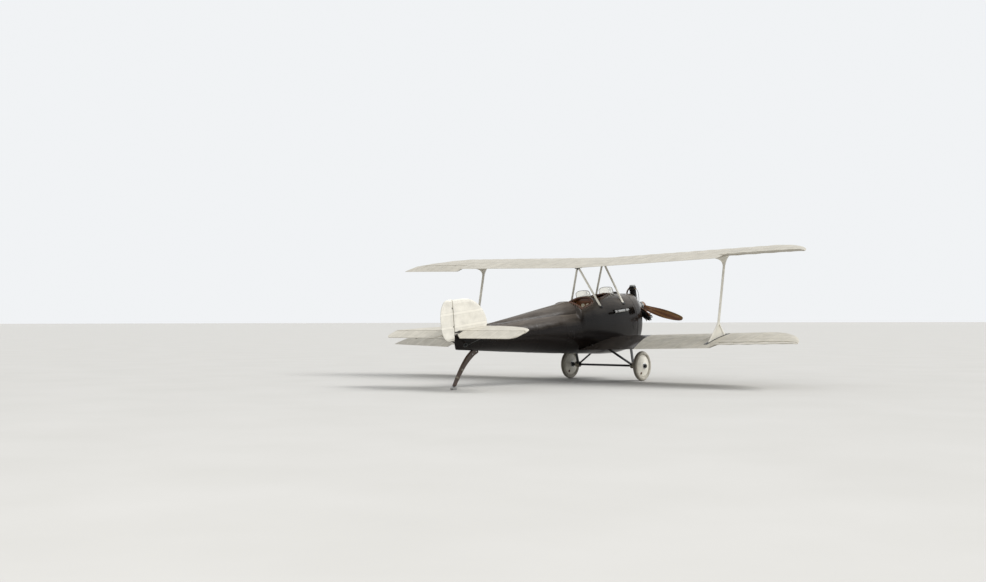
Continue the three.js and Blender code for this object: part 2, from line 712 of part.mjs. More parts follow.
function propellerHub() {
  const back = CRANKCASE_FRONT - SEAT_GAP;
  const rearFlange = PROPELLER_PLANE + BOSS_LENGTH / 2;
  const frontFlange = PROPELLER_PLANE - BOSS_LENGTH / 2;
  const profile = [
    [0, back], [40, back], [40, CRANKCASE_FRONT - 20], [92, CRANKCASE_FRONT - 22], [92, rearFlange],
    [34, rearFlange], [34, frontFlange], [88, frontFlange], [88, frontFlange - 8],
    [30, HUB_FRONT + 8], [24, HUB_FRONT], [0, HUB_FRONT],
  ].map(([radius, y]) => new THREE.Vector2(radius, -y));
  return new THREE.LatheGeometry(profile, 20).rotateX(Math.PI).translate(0, 0, CRANK_Z);
}

// Two-blade propeller: sections along the radius with chord, thickness and twist
const BLADE_STATIONS = [
  { at: 0, chord: 140, thickness: 62, twist: 0 },
  { at: 0.1, chord: 116, thickness: 58, twist: 10 },
  { at: 0.2, chord: 118, thickness: 50, twist: 36 },
  { at: 0.35, chord: 142, thickness: 32, twist: 30 },
  { at: 0.55, chord: 158, thickness: 22, twist: 22 },
  { at: 0.75, chord: 142, thickness: 15, twist: 17 },
  { at: 0.9, chord: 108, thickness: 10, twist: 14 },
  { at: 0.97, chord: 72, thickness: 7, twist: 13 },
  { at: 1, chord: 30, thickness: 4, twist: 12 },
];

function blade(side) {
  const rings = BLADE_STATIONS.map(({ at, chord, thickness, twist }) => {
    const angle = THREE.MathUtils.degToRad(90 - twist);
    return Array.from({ length: 12 }, (_, i) => {
      const turn = (2 * Math.PI * i) / 12;
      const along = (Math.cos(turn) * chord) / 2;
      const across = (Math.sin(turn) * thickness) / 2;
      const x = along * Math.sin(angle) - across * Math.cos(angle);
      const y = along * Math.cos(angle) + across * Math.sin(angle);
      return new THREE.Vector3(side * x, y, side * at * PROPELLER_RADIUS);
    });
  });
  return loft(rings);
}

function propeller() {
  const boss = new THREE.CylinderGeometry(86, 86, BOSS_LENGTH - 2 * SEAT_GAP, 20);
  const bore = new THREE.CylinderGeometry(35, 35, 200, 20);
  return cut(join(blade(1), blade(-1), boss), bore)
    .rotateY(PROPELLER_PARKED)
    .translate(0, PROPELLER_PLANE, CRANK_Z);
}

// The tail in plan is an ellipse back to its widest point, and straight-sided behind it
function tailEdgeAt(y) {
  const ahead = Math.max(TAILPLANE_WIDEST_Y - y, 0) / (TAILPLANE_WIDEST_Y - TAILPLANE_FRONT);
  return TAIL_SEMI_SPAN * Math.sqrt(1 - ahead ** 2);
}

function tailplaneHalf() {
  const rear = ELEVATOR_HINGE_Y - TAIL_HINGE_GAP;
  const length = TAILPLANE_WIDEST_Y - TAILPLANE_FRONT;
  const lastAngle = Math.acos((TAILPLANE_WIDEST_Y - rear) / length);
  const steps = 12;
  const outline = Array.from({ length: steps + 1 }, (_, i) => {
    const angle = (lastAngle * i) / steps;
    return [TAIL_SEMI_SPAN * Math.sin(angle), TAILPLANE_WIDEST_Y - length * Math.cos(angle)];
  });
  outline.push([0, rear]);
  return outline;
}

const TAIL_HINGES_X = [430, 1080];
const ELEVATOR_AXIS_Y = ELEVATOR_HINGE_Y + 10;
const RUDDER_AXIS_Y = RUDDER_HINGE_Y + 10;

function stabiliser() {
  const half = tailplaneHalf();
  const whole = [...half, ...half.slice(1, -1).reverse().map(([x, y]) => [-x, y])];
  const grown = (inset, z) => {
    const middle = (TAILPLANE_FRONT + ELEVATOR_HINGE_Y) / 2;
    const halfLength = (ELEVATOR_HINGE_Y - TAILPLANE_FRONT) / 2;
    return whole.map(([x, y]) => {
      const scaleX = 1 - inset / TAIL_SEMI_SPAN;
      const scaleY = 1 - inset / halfLength;
      const atHinge = y > ELEVATOR_HINGE_Y - TAIL_HINGE_GAP - 1;
      return new THREE.Vector3(x * scaleX, atHinge ? y : middle + (y - middle) * scaleY, z);
    });
  };
  const halfThick = TAIL_THICKNESS / 2;
  const plate = loft([
    grown(22, TAILPLANE_Z - halfThick), grown(6, TAILPLANE_Z - halfThick * 0.6), grown(0, TAILPLANE_Z),
    grown(6, TAILPLANE_Z + halfThick * 0.6), grown(22, TAILPLANE_Z + halfThick),
  ]);
  const brackets = TAIL_HINGES_X.flatMap((x) => [-1, 1].map((side) => tailBracket(side * x)));
  return cut(join(plate, ...brackets), bodyLoft(SEAT_GAP), fairingLoft(SEAT_GAP));
}

function tailBracket(x) {
  const arm = box(
    x - 5, x + 5, ELEVATOR_HINGE_Y - 40, ELEVATOR_AXIS_Y + 6, TAILPLANE_Z - 6, TAILPLANE_Z + 6);
  const reach = HINGE_NOTCH.halfWidth - SEAT_GAP;
  const pin = bar(
    new THREE.Vector3(x - reach, ELEVATOR_AXIS_Y, TAILPLANE_Z),
    new THREE.Vector3(x + reach, ELEVATOR_AXIS_Y, TAILPLANE_Z), 6, 10);
  return join(arm, pin);
}

// Each elevator half is a tapered plate, cut away near the middle for the rudder's swing
const ELEVATOR_INNER = 118;

function elevatorHalf(side) {
  const front = ELEVATOR_HINGE_Y;
  const aft = front + ELEVATOR_CHORD;
  const outline = [
    [ELEVATOR_INNER + 40, front], [tailEdgeAt(front), front], [tailEdgeAt(aft), front + 115],
    [TAIL_SEMI_SPAN - 6, aft - 75], [TAIL_SEMI_SPAN - 28, aft - 22], [TAIL_SEMI_SPAN - 75, aft],
    [ELEVATOR_INNER + 160, aft], [ELEVATOR_INNER, front + 140],
  ];
  const taper = (y) => 1 - (0.82 * (y - front)) / ELEVATOR_CHORD;
  const ring = (face) => outline.map(([x, y]) => new THREE.Vector3(
    side * x, y, TAILPLANE_Z + (face * taper(y) * TAIL_THICKNESS) / 2));
  const notches = TAIL_HINGES_X.map((x) => box(
    side * x - HINGE_NOTCH.halfWidth, side * x + HINGE_NOTCH.halfWidth,
    front - 20, front + HINGE_NOTCH.depth, TAILPLANE_Z - 60, TAILPLANE_Z + 60));
  const tubeSeat = torqueTube(TUBE_RADIUS + SEAT_GAP, TUBE_REACH + 10);
  return cut(loft([ring(-1), ring(1)]), ...notches, tubeSeat);
}

// The tube that joins the halves and crosses between the body and the fin
const TUBE_RADIUS = 13;
const TUBE_REACH = 390;

function torqueTube(radius = TUBE_RADIUS, reach = TUBE_REACH) {
  return bar(
    new THREE.Vector3(-reach, ELEVATOR_AXIS_Y, TAILPLANE_Z),
    new THREE.Vector3(reach, ELEVATOR_AXIS_Y, TAILPLANE_Z),
    radius, 12);
}

function finOutline() {
  const rear = RUDDER_HINGE_Y - TAIL_HINGE_GAP;
  const foot = 1050;
  const shoulder = 1170;
  const outline = [[FIN_FRONT, foot], [FIN_FRONT, shoulder]];
  const steps = 7;
  const length = 560;
  const rise = RUDDER_TOP - 12 - shoulder;
  for (let i = 1; i <= steps; i++) {
    const angle = (Math.PI / 2) * (i / steps);
    outline.push([FIN_FRONT + length * (1 - Math.cos(angle)) ** 0.9, shoulder + rise * Math.sin(angle)]);
  }
  outline.push([rear, RUDDER_TOP], [rear, foot]);
  return outline;
}

const RUDDER_HINGES_Z = [1180, 1470];
const RUDDER_NOTCH = { halfHeight: 30, depth: 52 };

function fin() {
  const outline = finOutline();
  const centre = { y: (FIN_FRONT + RUDDER_HINGE_Y) / 2, z: 1300 };
  const ring = (inset, x) => outline.map(([y, z]) => {
    const atHinge = y > RUDDER_HINGE_Y - TAIL_HINGE_GAP - 1;
    const insetY = centre.y + (y - centre.y) * (1 - inset / 380);
    return new THREE.Vector3(x, atHinge ? y : insetY, centre.z + (z - centre.z) * (1 - inset / 320));
  });
  const half = FIN_THICKNESS / 2;
  const plate = loft([
    ring(18, -half), ring(5, -half * 0.6), ring(0, 0), ring(5, half * 0.6), ring(18, half),
  ]);
  const brackets = RUDDER_HINGES_Z.map((z) => {
    const arm = box(-6, 6, RUDDER_HINGE_Y - 40, RUDDER_AXIS_Y + 6, z - 5, z + 5);
    const reach = RUDDER_NOTCH.halfHeight - SEAT_GAP;
    const pin = bar(
      new THREE.Vector3(0, RUDDER_AXIS_Y, z - reach),
      new THREE.Vector3(0, RUDDER_AXIS_Y, z + reach), 6, 10);
    return join(arm, pin);
  });
  const tailplaneTop = TAILPLANE_Z + TAIL_THICKNESS / 2 + SEAT_GAP;
  const underTailplane = box(-100, 100, TAILPLANE_FRONT - 12, RUDDER_HINGE_Y + 200, 900, tailplaneTop);
  return cut(join(plate, ...brackets), bodyLoft(SEAT_GAP), fairingLoft(SEAT_GAP), underTailplane);
}

function rudder() {
  const shape = [
    [0, RUDDER_BOTTOM], [0, RUDDER_TOP], [0.4, RUDDER_TOP - 4], [0.72, RUDDER_TOP - 60],
    [0.92, RUDDER_TOP - 165], [1, RUDDER_TOP - 300], [0.975, RUDDER_BOTTOM + 210],
    [0.85, RUDDER_BOTTOM + 90], [0.61, RUDDER_BOTTOM + 18], [0.4, RUDDER_BOTTOM],
  ];
  const ring = (face) => shape.map(([t, z]) => new THREE.Vector3(
    face * (FIN_THICKNESS / 2) * (1 - 0.8 * t), RUDDER_HINGE_Y + t * RUDDER_CHORD, z));
  const notches = RUDDER_HINGES_Z.map((z) => box(
    -60, 60, RUDDER_HINGE_Y - 20, RUDDER_HINGE_Y + RUDDER_NOTCH.depth,
    z - RUDDER_NOTCH.halfHeight, z + RUDDER_NOTCH.halfHeight));
  return cut(loft([ring(-1), ring(1)]), ...notches);
}

// Height of the ground in the level datum frame, under a point at y
function groundAt(y) {
  return (-TYRE_RADIUS + y * Math.sin(NOSE_UP)) / Math.cos(NOSE_UP);
}

function tailSkid() {
  const halfWidth = 28;
  const tipY = 4180;
  const tip = groundAt(tipY);
  const outline = [
    [3560, 700], [3600, 655], [3760, 612], [3900, 520], [4040, 380], [tipY - 60, tip + 70],
    [tipY - 34, groundAt(tipY - 34)], [tipY + 46, groundAt(tipY + 46)], [tipY + 40, tip + 34],
    [tipY - 10, tip + 120], [4080, 420], [3950, 570], [3800, 680], [3700, 790], [3560, 790],
  ];
  return cut(prism(outline, ['y', 'z'], -halfWidth, halfWidth), bodyLoft(SEAT_GAP));
}

function tailBrace(side) {
  const low = new THREE.Vector3(side * 30, 3900, 850);
  const high = new THREE.Vector3(side * 640, 3840, TAILPLANE_Z);
  return cut(fairedBar(low, high, 30, 15, 8), bodyLoft(SEAT_GAP), stabiliser().translate(0, 0, -SEAT_GAP));
}

// Undercarriage: one V of two legs on each side, and a straight cross axle through their apexes
function gearLegs(side) {
  const apex = new THREE.Vector3(side * LEG_AXLE_X, 0, 0);
  const leg = ({ x, y }) => fairedBar(
    apex, new THREE.Vector3(side * x, y, skinHeight(x, y, -1) + 40), LEG_CHORD, LEG_THICKNESS);
  const lug = new THREE.CylinderGeometry(40, 40, 44, 16).rotateZ(Math.PI / 2).translate(apex.x, 0, 0);
  const hole = new THREE.CylinderGeometry(AXLE_RADIUS + SEAT_GAP, AXLE_RADIUS + SEAT_GAP, 400, 16)
    .rotateZ(Math.PI / 2).translate(apex.x, 0, 0);
  return cut(join(leg(LEG_FRONT), leg(LEG_REAR), lug), hole, bodyLoft(SEAT_GAP));
}

function axle() {
  const end = TRACK_HALF + HUB_HALF_WIDTH + 24;
  const collar = TRACK_HALF + HUB_HALF_WIDTH + SEAT_GAP;
  const half = [[AXLE_RADIUS, collar], [36, collar], [36, end], [0, end]];
  const profile = [...half.map(([radius, x]) => [radius, -x]).reverse(), ...half]
    .map(([radius, x]) => new THREE.Vector2(radius, x));
  return new THREE.LatheGeometry(profile, 16).rotateZ(Math.PI / 2);
}

function tyre() {
  const middle = TYRE_RADIUS - TYRE_SECTION;
  const steps = 10;
  const profile = Array.from({ length: steps + 1 }, (_, i) => {
    const angle = (2 * Math.PI * i) / steps;
    return new THREE.Vector2(middle + TYRE_SECTION * Math.cos(angle), TYRE_SECTION * Math.sin(angle));
  });
  return new THREE.LatheGeometry(profile, 36).rotateZ(Math.PI / 2).rotateX(NOSE_UP);
}

// Fabric-covered wheel: two shallow cones from the hub to the rim
function wheelDisc() {
  const rim = TYRE_RADIUS - 2 * TYRE_SECTION - SEAT_GAP;
  const bore = AXLE_RADIUS + 1;
  const half = [[rim, 19], [60, HUB_HALF_WIDTH - 8], [44, HUB_HALF_WIDTH], [bore, HUB_HALF_WIDTH]];
  const profile = [...half.map(([radius, x]) => [radius, -x]).reverse(), ...half, [bore, -HUB_HALF_WIDTH]]
    .map(([radius, x]) => new THREE.Vector2(radius, x));
  return new THREE.LatheGeometry(profile, 36).rotateZ(Math.PI / 2).rotateX(NOSE_UP);
}

function exhaust(side) {
  const path = new THREE.CatmullRomCurve3([
    new THREE.Vector3(side * 330, -330, 985), new THREE.Vector3(side * 415, -240, 992),
    new THREE.Vector3(side * 447, -120, 998), new THREE.Vector3(side * 452, 40, 1002),
    new THREE.Vector3(side * 452, 250, 1006),
  ]);
  const circle = new THREE.Shape();
  circle.absarc(0, 0, 24, 0, 2 * Math.PI, false);
  const tube = new THREE.ExtrudeGeometry(circle, {
    steps: 8, curveSegments: 5, extrudePath: path, bevelEnabled: false,
  });
  return cut(tube, bodyLoft(SEAT_GAP));
}

const datum = new THREE.Group();

function add(name, geometry, look) {
  const clean = merged(geometry);
  clean.computeVertexNormals();
  const mesh = new THREE.Mesh(clean, new THREE.MeshStandardMaterial(look));
  mesh.name = name;
  datum.add(mesh);
  return mesh;
}

const SIDES = [{ name: 'left', side: 1 }, { name: 'right', side: -1 }];

function onSide(geometry, side) {
  return side > 0 ? geometry : mirrored(geometry);
}

add('body_shell', body(), DARK_SKIN);
add('headrest_fairing', cut(fairingLoft(), bodyLoft(SEAT_GAP)), DARK_SKIN);
add('nose_cowl', noseCowl(), DARK_SKIN);
add('cockpit_floor', floor(), WOOD);
add('front_instrument_panel', instrumentPanel(FRONT_COCKPIT), WOOD);
add('rear_instrument_panel', instrumentPanel(REAR_COCKPIT), WOOD);
add('front_seat', seat(FRONT_COCKPIT.seat), LEATHER);
add('rear_seat', seat(REAR_COCKPIT.seat), LEATHER);
add('front_windscreen', windscreen(FRONT_COCKPIT), GLASS);
add('rear_windscreen', windscreen(REAR_COCKPIT), GLASS);

add('crankcase', crankcase(), DARK_METAL);
const barrel = cylinder();
for (const { name, angle } of CYLINDER_ANGLES) {
  add(`cylinder_${name}`, placedCylinder(barrel, angle), DARK_METAL);
}
add('propeller_hub', propellerHub(), BARE_METAL);
add('propeller', propeller(), WOOD);

add('upper_wing_centre', centrePanel(), FABRIC);
const upperPanel = wingPanel(UPPER_TRAILING_EDGE, CENTRE_PANEL + PANEL_GAP / 2);
const lowerOuter = lowerPanel();
const stub = lowerStub();
const post = strut();
for (const { name, side } of SIDES) {
  add(`upper_wing_${name}`, onSide(upperPanel, side), FABRIC);
  add(`lower_wing_stub_${name}`, onSide(stub, side), DARK_SKIN);
  add(`lower_wing_${name}`, onSide(lowerOuter, side), FABRIC);
  add(`interplane_strut_${name}`, onSide(post, side), PALE_PAINT);
}
for (const [level, edge] of [['upper', UPPER_TRAILING_EDGE], ['lower', LOWER_TRAILING_EDGE]]) {
  const flat = aileron(edge);
  const axis = aileronAxis(edge);
  for (const { name, side } of SIDES) {
    add(`${level}_aileron_${name}`, onSide(turned(flat, axis, -side * AILERON_REST), side), FABRIC);
  }
}
add('cabane_front', cabane(-150, 318, -240), PALE_PAINT);
add('cabane_rear', cabane(650, 330, 500), PALE_PAINT);

add('stabiliser', stabiliser(), FABRIC);
add('fin', fin(), FABRIC);
const elevatorAxis = {
  start: new THREE.Vector3(0, ELEVATOR_AXIS_Y, TAILPLANE_Z),
  end: new THREE.Vector3(1, ELEVATOR_AXIS_Y, TAILPLANE_Z),
};
add('elevator_tube', turned(torqueTube(), elevatorAxis, -ELEVATOR_REST), DARK_METAL);
for (const { name, side } of SIDES) {
  add(`elevator_${name}`, turned(elevatorHalf(side), elevatorAxis, -ELEVATOR_REST), FABRIC);
}
add('rudder', rudder(), FABRIC);
add('tail_skid', tailSkid(), WOOD);
for (const { name, side } of SIDES) {
  add(`tail_brace_${name}`, tailBrace(side), DARK_METAL);
  add(`gear_legs_${name}`, gearLegs(side), DARK_METAL);
  add(`tyre_${name}`, tyre().translate(side * TRACK_HALF, 0, 0), RUBBER);
  add(`wheel_disc_${name}`, wheelDisc().translate(side * TRACK_HALF, 0, 0), PALE_PAINT);
  add(`exhaust_${name}`, exhaust(side), BARE_METAL);
}
add('axle', axle(), DARK_METAL);

// Tip the level aircraft onto its wheels and skid, then centre it over the ground
datum.rotation.x = -NOSE_UP;
datum.position.z = TYRE_RADIUS;
const aircraft = new THREE.Group();
aircraft.add(datum);
aircraft.updateMatrixWorld(true);
const extent = new THREE.Box3().setFromObject(aircraft, true);
datum.position.y = -(extent.min.y + extent.max.y) / 2;
aircraft.updateMatrixWorld(true);

export default aircraft;
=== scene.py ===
"""A two-seat light biplane, dressed for the studio around its packed solids.

The drawing is made in millimetres in the aircraft's own level frame: X to port, Y aft, Z up, with the
origin at the middle of the wheel axle. PARKED turns that frame into the scene's metres.
"""
import json
import math

import bmesh
import bpy
import numpy as np
from bpy.props import FloatProperty, FloatVectorProperty, IntProperty, PointerProperty
from mathutils import Matrix, Vector, noise

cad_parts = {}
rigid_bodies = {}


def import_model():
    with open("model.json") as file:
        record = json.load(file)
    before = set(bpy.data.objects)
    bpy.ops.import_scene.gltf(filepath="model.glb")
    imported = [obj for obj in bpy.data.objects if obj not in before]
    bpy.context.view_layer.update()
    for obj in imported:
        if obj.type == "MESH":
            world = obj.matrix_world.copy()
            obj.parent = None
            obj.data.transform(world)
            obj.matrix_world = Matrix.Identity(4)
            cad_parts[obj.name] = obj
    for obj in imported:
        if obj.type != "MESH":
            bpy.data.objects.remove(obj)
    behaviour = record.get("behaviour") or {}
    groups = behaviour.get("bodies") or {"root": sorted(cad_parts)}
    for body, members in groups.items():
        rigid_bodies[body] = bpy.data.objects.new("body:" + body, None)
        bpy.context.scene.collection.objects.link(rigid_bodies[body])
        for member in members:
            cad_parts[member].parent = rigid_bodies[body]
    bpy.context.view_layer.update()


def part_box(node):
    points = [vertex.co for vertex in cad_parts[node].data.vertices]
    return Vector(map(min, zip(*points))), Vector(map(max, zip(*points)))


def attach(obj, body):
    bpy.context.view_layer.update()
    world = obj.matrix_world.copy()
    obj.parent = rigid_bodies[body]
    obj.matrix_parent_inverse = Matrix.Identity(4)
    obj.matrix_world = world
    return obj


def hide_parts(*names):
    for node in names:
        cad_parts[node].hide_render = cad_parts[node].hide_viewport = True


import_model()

bl_info = {
    "name": "Light biplane",
    "version": (1, 0, 0),
    "blender": (4, 5, 0),
    "location": "View3D > Sidebar > Biplane",
    "description": "Builds the visible pieces of a light biplane around its packed solids",
    "category": "Object",
}

MM = 0.001

# Attitude and wings, as in the solids
NOSE_UP = math.radians(6.4)
SEMI_SPAN = 4270
CHORD = 1340
INCIDENCE = math.radians(2.5)
DIHEDRAL = math.radians(1.45)
UPPER_EDGE = (690, 1842)
LOWER_EDGE = (1140, 428)
THICKNESS = 0.064
TAIL_EDGE = 4
CAMBER = 0.026
TIP_LENGTH = 950
TIP_INNER_POWER = 1.8
TIP_OUTER_POWER = 1.4
CENTRE_PANEL = 800
PANEL_GAP = 0.6
TAPE_LIFT = 0.7
STUB_AT_NOSE = 980
STUB_AT_TAIL = 1380
AILERON_INBOARD = 2840
AILERON_CHORD = 300
AILERON_REST = math.radians(11)
AILERON_AXIS_AHEAD = AILERON_CHORD - 24
HINGE_GAP = 16
END_GAP = 12
AILERON_HINGES = (3120, 3900)
STRUT_X = 2640
STRUT_CHORD = 66
STRUT_THICKNESS = 30
CABANES = {"front": (-150, 318, -240), "rear": (650, 330, 500)}

# Body
BODY_SECTIONS = [
    # y, bottom, top, half width, roundness
    (-620, 205, 1262, 382, 2.25),
    (-300, 195, 1290, 408, 2.3),
    (150, 228, 1300, 420, 2.35),
    (600, 292, 1297, 417, 2.35),
    (1080, 355, 1286, 396, 2.3),
    (1200, 374, 1168, 386, 2.3),
    (1700, 446, 1146, 352, 2.25),
    (2400, 553, 1122, 288, 2.2),
    (3100, 662, 1098, 206, 2.1),
    (3650, 750, 1078, 122, 2.05),
    (3980, 802, 1062, 52, 2),
    (4060, 816, 1056, 20, 2),
]
NOSE_SECTIONS = [
    (-620.3, 205, 1262, 382, 2.25),
    (-800, 238, 1248, 342, 2.2),
    (-920, 296, 1230, 280, 2.15),
    (-980, 342, 1208, 238, 2.1),
    (-1040, 405, 1140, 196, 2.05),
    (-1090, 480, 1064, 150, 2),
    (-1112, 560, 1000, 96, 2),
]
FAIRING_FOOT = 1000
FAIRING_SECTIONS = [
    # y, top, half width
    (1122, 1286, 300),
    (1300, 1268, 278),
    (1700, 1240, 232),
    (2100, 1213, 186),
    (2500, 1184, 138),
    (2900, 1158, 92),
    (3290, 1132, 46),
]
WALL = 22
COCKPITS = {
    "front": {"front": -245, "rear": 420, "front_round": 200, "rear_round": 90, "screen": -271, "seat": 170},
    "rear": {"front": 520, "rear": 1112, "front_round": 190, "rear_round": 60, "screen": 460, "seat": 855},
}
COCKPIT_HALF_WIDTH = 308
COCKPIT_WIDEST = 1100
COCKPIT_LINE_LENGTH = 1500
COCKPIT_LINE_POWER = 1.8
FLOOR_TOP = 430
FLOOR_THICKNESS = 18
FILLER_Y = -470
CHANNELS = 5
STEP_Y = 820

# Engine and propeller
CRANK_Z = 950
CYLINDER_PLANE = -1085
CYLINDER_TIP = 434
CYLINDER_HEAD = CYLINDER_TIP - 96
CYLINDER_BASE = 118
CYLINDER_ANGLES = {"top": 0, "left": 120, "right": -120}
PROPELLER_RADIUS = 940
PROPELLER_PLANE = -1335
PROPELLER_PARKED = math.radians(75)
SHEATH_START = 0.56

# Tail
ELEVATOR_HINGE = 3985
ELEVATOR_AXIS = ELEVATOR_HINGE + 10
RUDDER_HINGE = 4078
TAILPLANE_Z = 1092
TAILPLANE_FRONT = 3240
TAILPLANE_WIDEST = 4100
TAIL_SEMI_SPAN = 1355
TAIL_THICKNESS = 44
ELEVATOR_CHORD = 285
ELEVATOR_INNER = 118
ELEVATOR_REST = math.radians(14)
RUDDER_CHORD = 282
RUDDER_BOTTOM = 960
RUDDER_TOP = 1612
FIN_FRONT = 3262
FIN_FOOT = 1170
FIN_TOP = RUDDER_TOP - 12
TAIL_RIB_START = 1180
FIN_THICKNESS = 40
TAIL_GAP = 14
TAIL_HINGES = (430, 1080)
RUDDER_HINGES = (1180, 1470)

# Undercarriage
TYRE_RADIUS = 266
TYRE_SECTION = 38
TRACK_HALF = 795
HUB_HALF_WIDTH = 62
AXLE_RADIUS = 19
VALVE_ANGLE = 2.5
LEG_AXLE_X = 610
LEG_FEET = ((300, -420), (312, 470))


def axle_centre():
    low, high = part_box("axle")
    return (low + high) / 2


def parked():
    return Matrix.Translation(axle_centre()) @ Matrix.Rotation(-NOSE_UP, 4, "X") @ Matrix.Scale(MM, 4)


PARKED = parked()


def linear(code):
    """A linear colour from an sRGB hex value."""
    parts = [int(code[i:i + 2], 16) / 255 for i in (1, 3, 5)]
    return [c / 12.92 if c <= 0.04045 else ((c + 0.055) / 1.055) ** 2.4 for c in parts]


class BiplaneSizes(bpy.types.PropertyGroup):
    rib_pitch: FloatProperty(
        name="Rib pitch", description="Distance between wing ribs", default=0.305, unit="LENGTH")
    fabric_sag: FloatProperty(
        name="Fabric sag", description="Depth of the fabric between two ribs", default=0.005, unit="LENGTH")
    tape_width: FloatProperty(
        name="Tape width", description="Width of the tape over each rib", default=0.042, unit="LENGTH")
    tail_rib_pitch: FloatProperty(
        name="Tail rib pitch", description="Distance between tail ribs", default=0.21, unit="LENGTH")
    coaming_radius: FloatProperty(
        name="Coaming radius", description="Radius of the padded cockpit edge", default=0.021, unit="LENGTH")
    fin_count: IntProperty(name="Cylinder fins", description="Cooling fins on each barrel", default=17)
    spoke_count: IntProperty(name="Spokes", description="Spokes that show through a wheel cover", default=30)


def colour_property(name, description, code):
    return FloatVectorProperty(
        name=name, description=description, subtype="COLOR", size=3, min=0, max=1, default=linear(code))


class BiplaneColours(bpy.types.PropertyGroup):
    linen: colour_property("Linen", "Doped fabric of the wings", "#b7b1a3")
    # the tail linen a little and the fin linen much lighter than the wings': painted light for surfaces in
    # fuller light
    tail: colour_property("Tail linen", "Doped fabric of the tailplane and elevators", "#beb8aa")
    fin: colour_property("Fin linen", "Doped fabric of the fin and rudder", "#d9d5ca")
    body: colour_property("Body", "Varnished plywood skin", "#130f0d")
    enamel: colour_property("Enamel", "Painted struts and wheel covers", "#dcd8cc")
    leather: colour_property("Leather", "Cockpit edges and cushions", "#4a2c1b")
    wood: colour_property("Wood", "Varnished propeller and boards", "#6b4022")
    rubber: colour_property("Rubber", "Tyres", "#aca79b")


SIZES = None
COLOURS = None


# Materials

def set_inputs(node, values):
    """Sets a node's inputs. Values are numbers, colours, or other nodes' output sockets to link from."""
    for name, value in values.items():
        socket = node.inputs[name]
        if isinstance(value, bpy.types.NodeSocket):
            node.id_data.links.new(value, socket)
        elif socket.type == "RGBA":
            socket.default_value = (*value[:3], 1)
        else:
            socket.default_value = value


def add_node(tree, kind, links=None, **settings):
    """Adds one shader node with its settings, and its inputs as set_inputs takes them."""
    node = tree.nodes.new(kind)
    for name, value in settings.items():
        setattr(node, name, value)
    set_inputs(node, links or {})
    return node


def new_material(name):
    """A fresh material with a plain surface shader, its node tree, shader and object coordinates."""
    material = bpy.data.materials.new(name)
    material.use_nodes = True
    tree = material.node_tree
    shader = tree.nodes["Principled BSDF"]
    place = add_node(tree, "ShaderNodeTexCoord").outputs["Object"]
    return material, tree, shader, place


def darker(colour, share):
    return [min(c * share, 1) for c in colour[:3]]


def mottle(tree, vector, scale, low, high, most=1.0, detail=6, rough=0.65, bend=0.0):
    """Uneven patches: zero where the noise is under low, rising to most at high; also the bare noise."""
    cloud = add_node(tree, "ShaderNodeTexNoise", {
        "Vector": vector, "Scale": scale, "Detail": detail, "Roughness": rough, "Distortion": bend})
    ramp = add_node(tree, "ShaderNodeMapRange", {
        "Value": cloud.outputs["Fac"], "From Min": low, "From Max": high, "To Min": 0, "To Max": most})
    return ramp.outputs[0], cloud.outputs["Fac"]


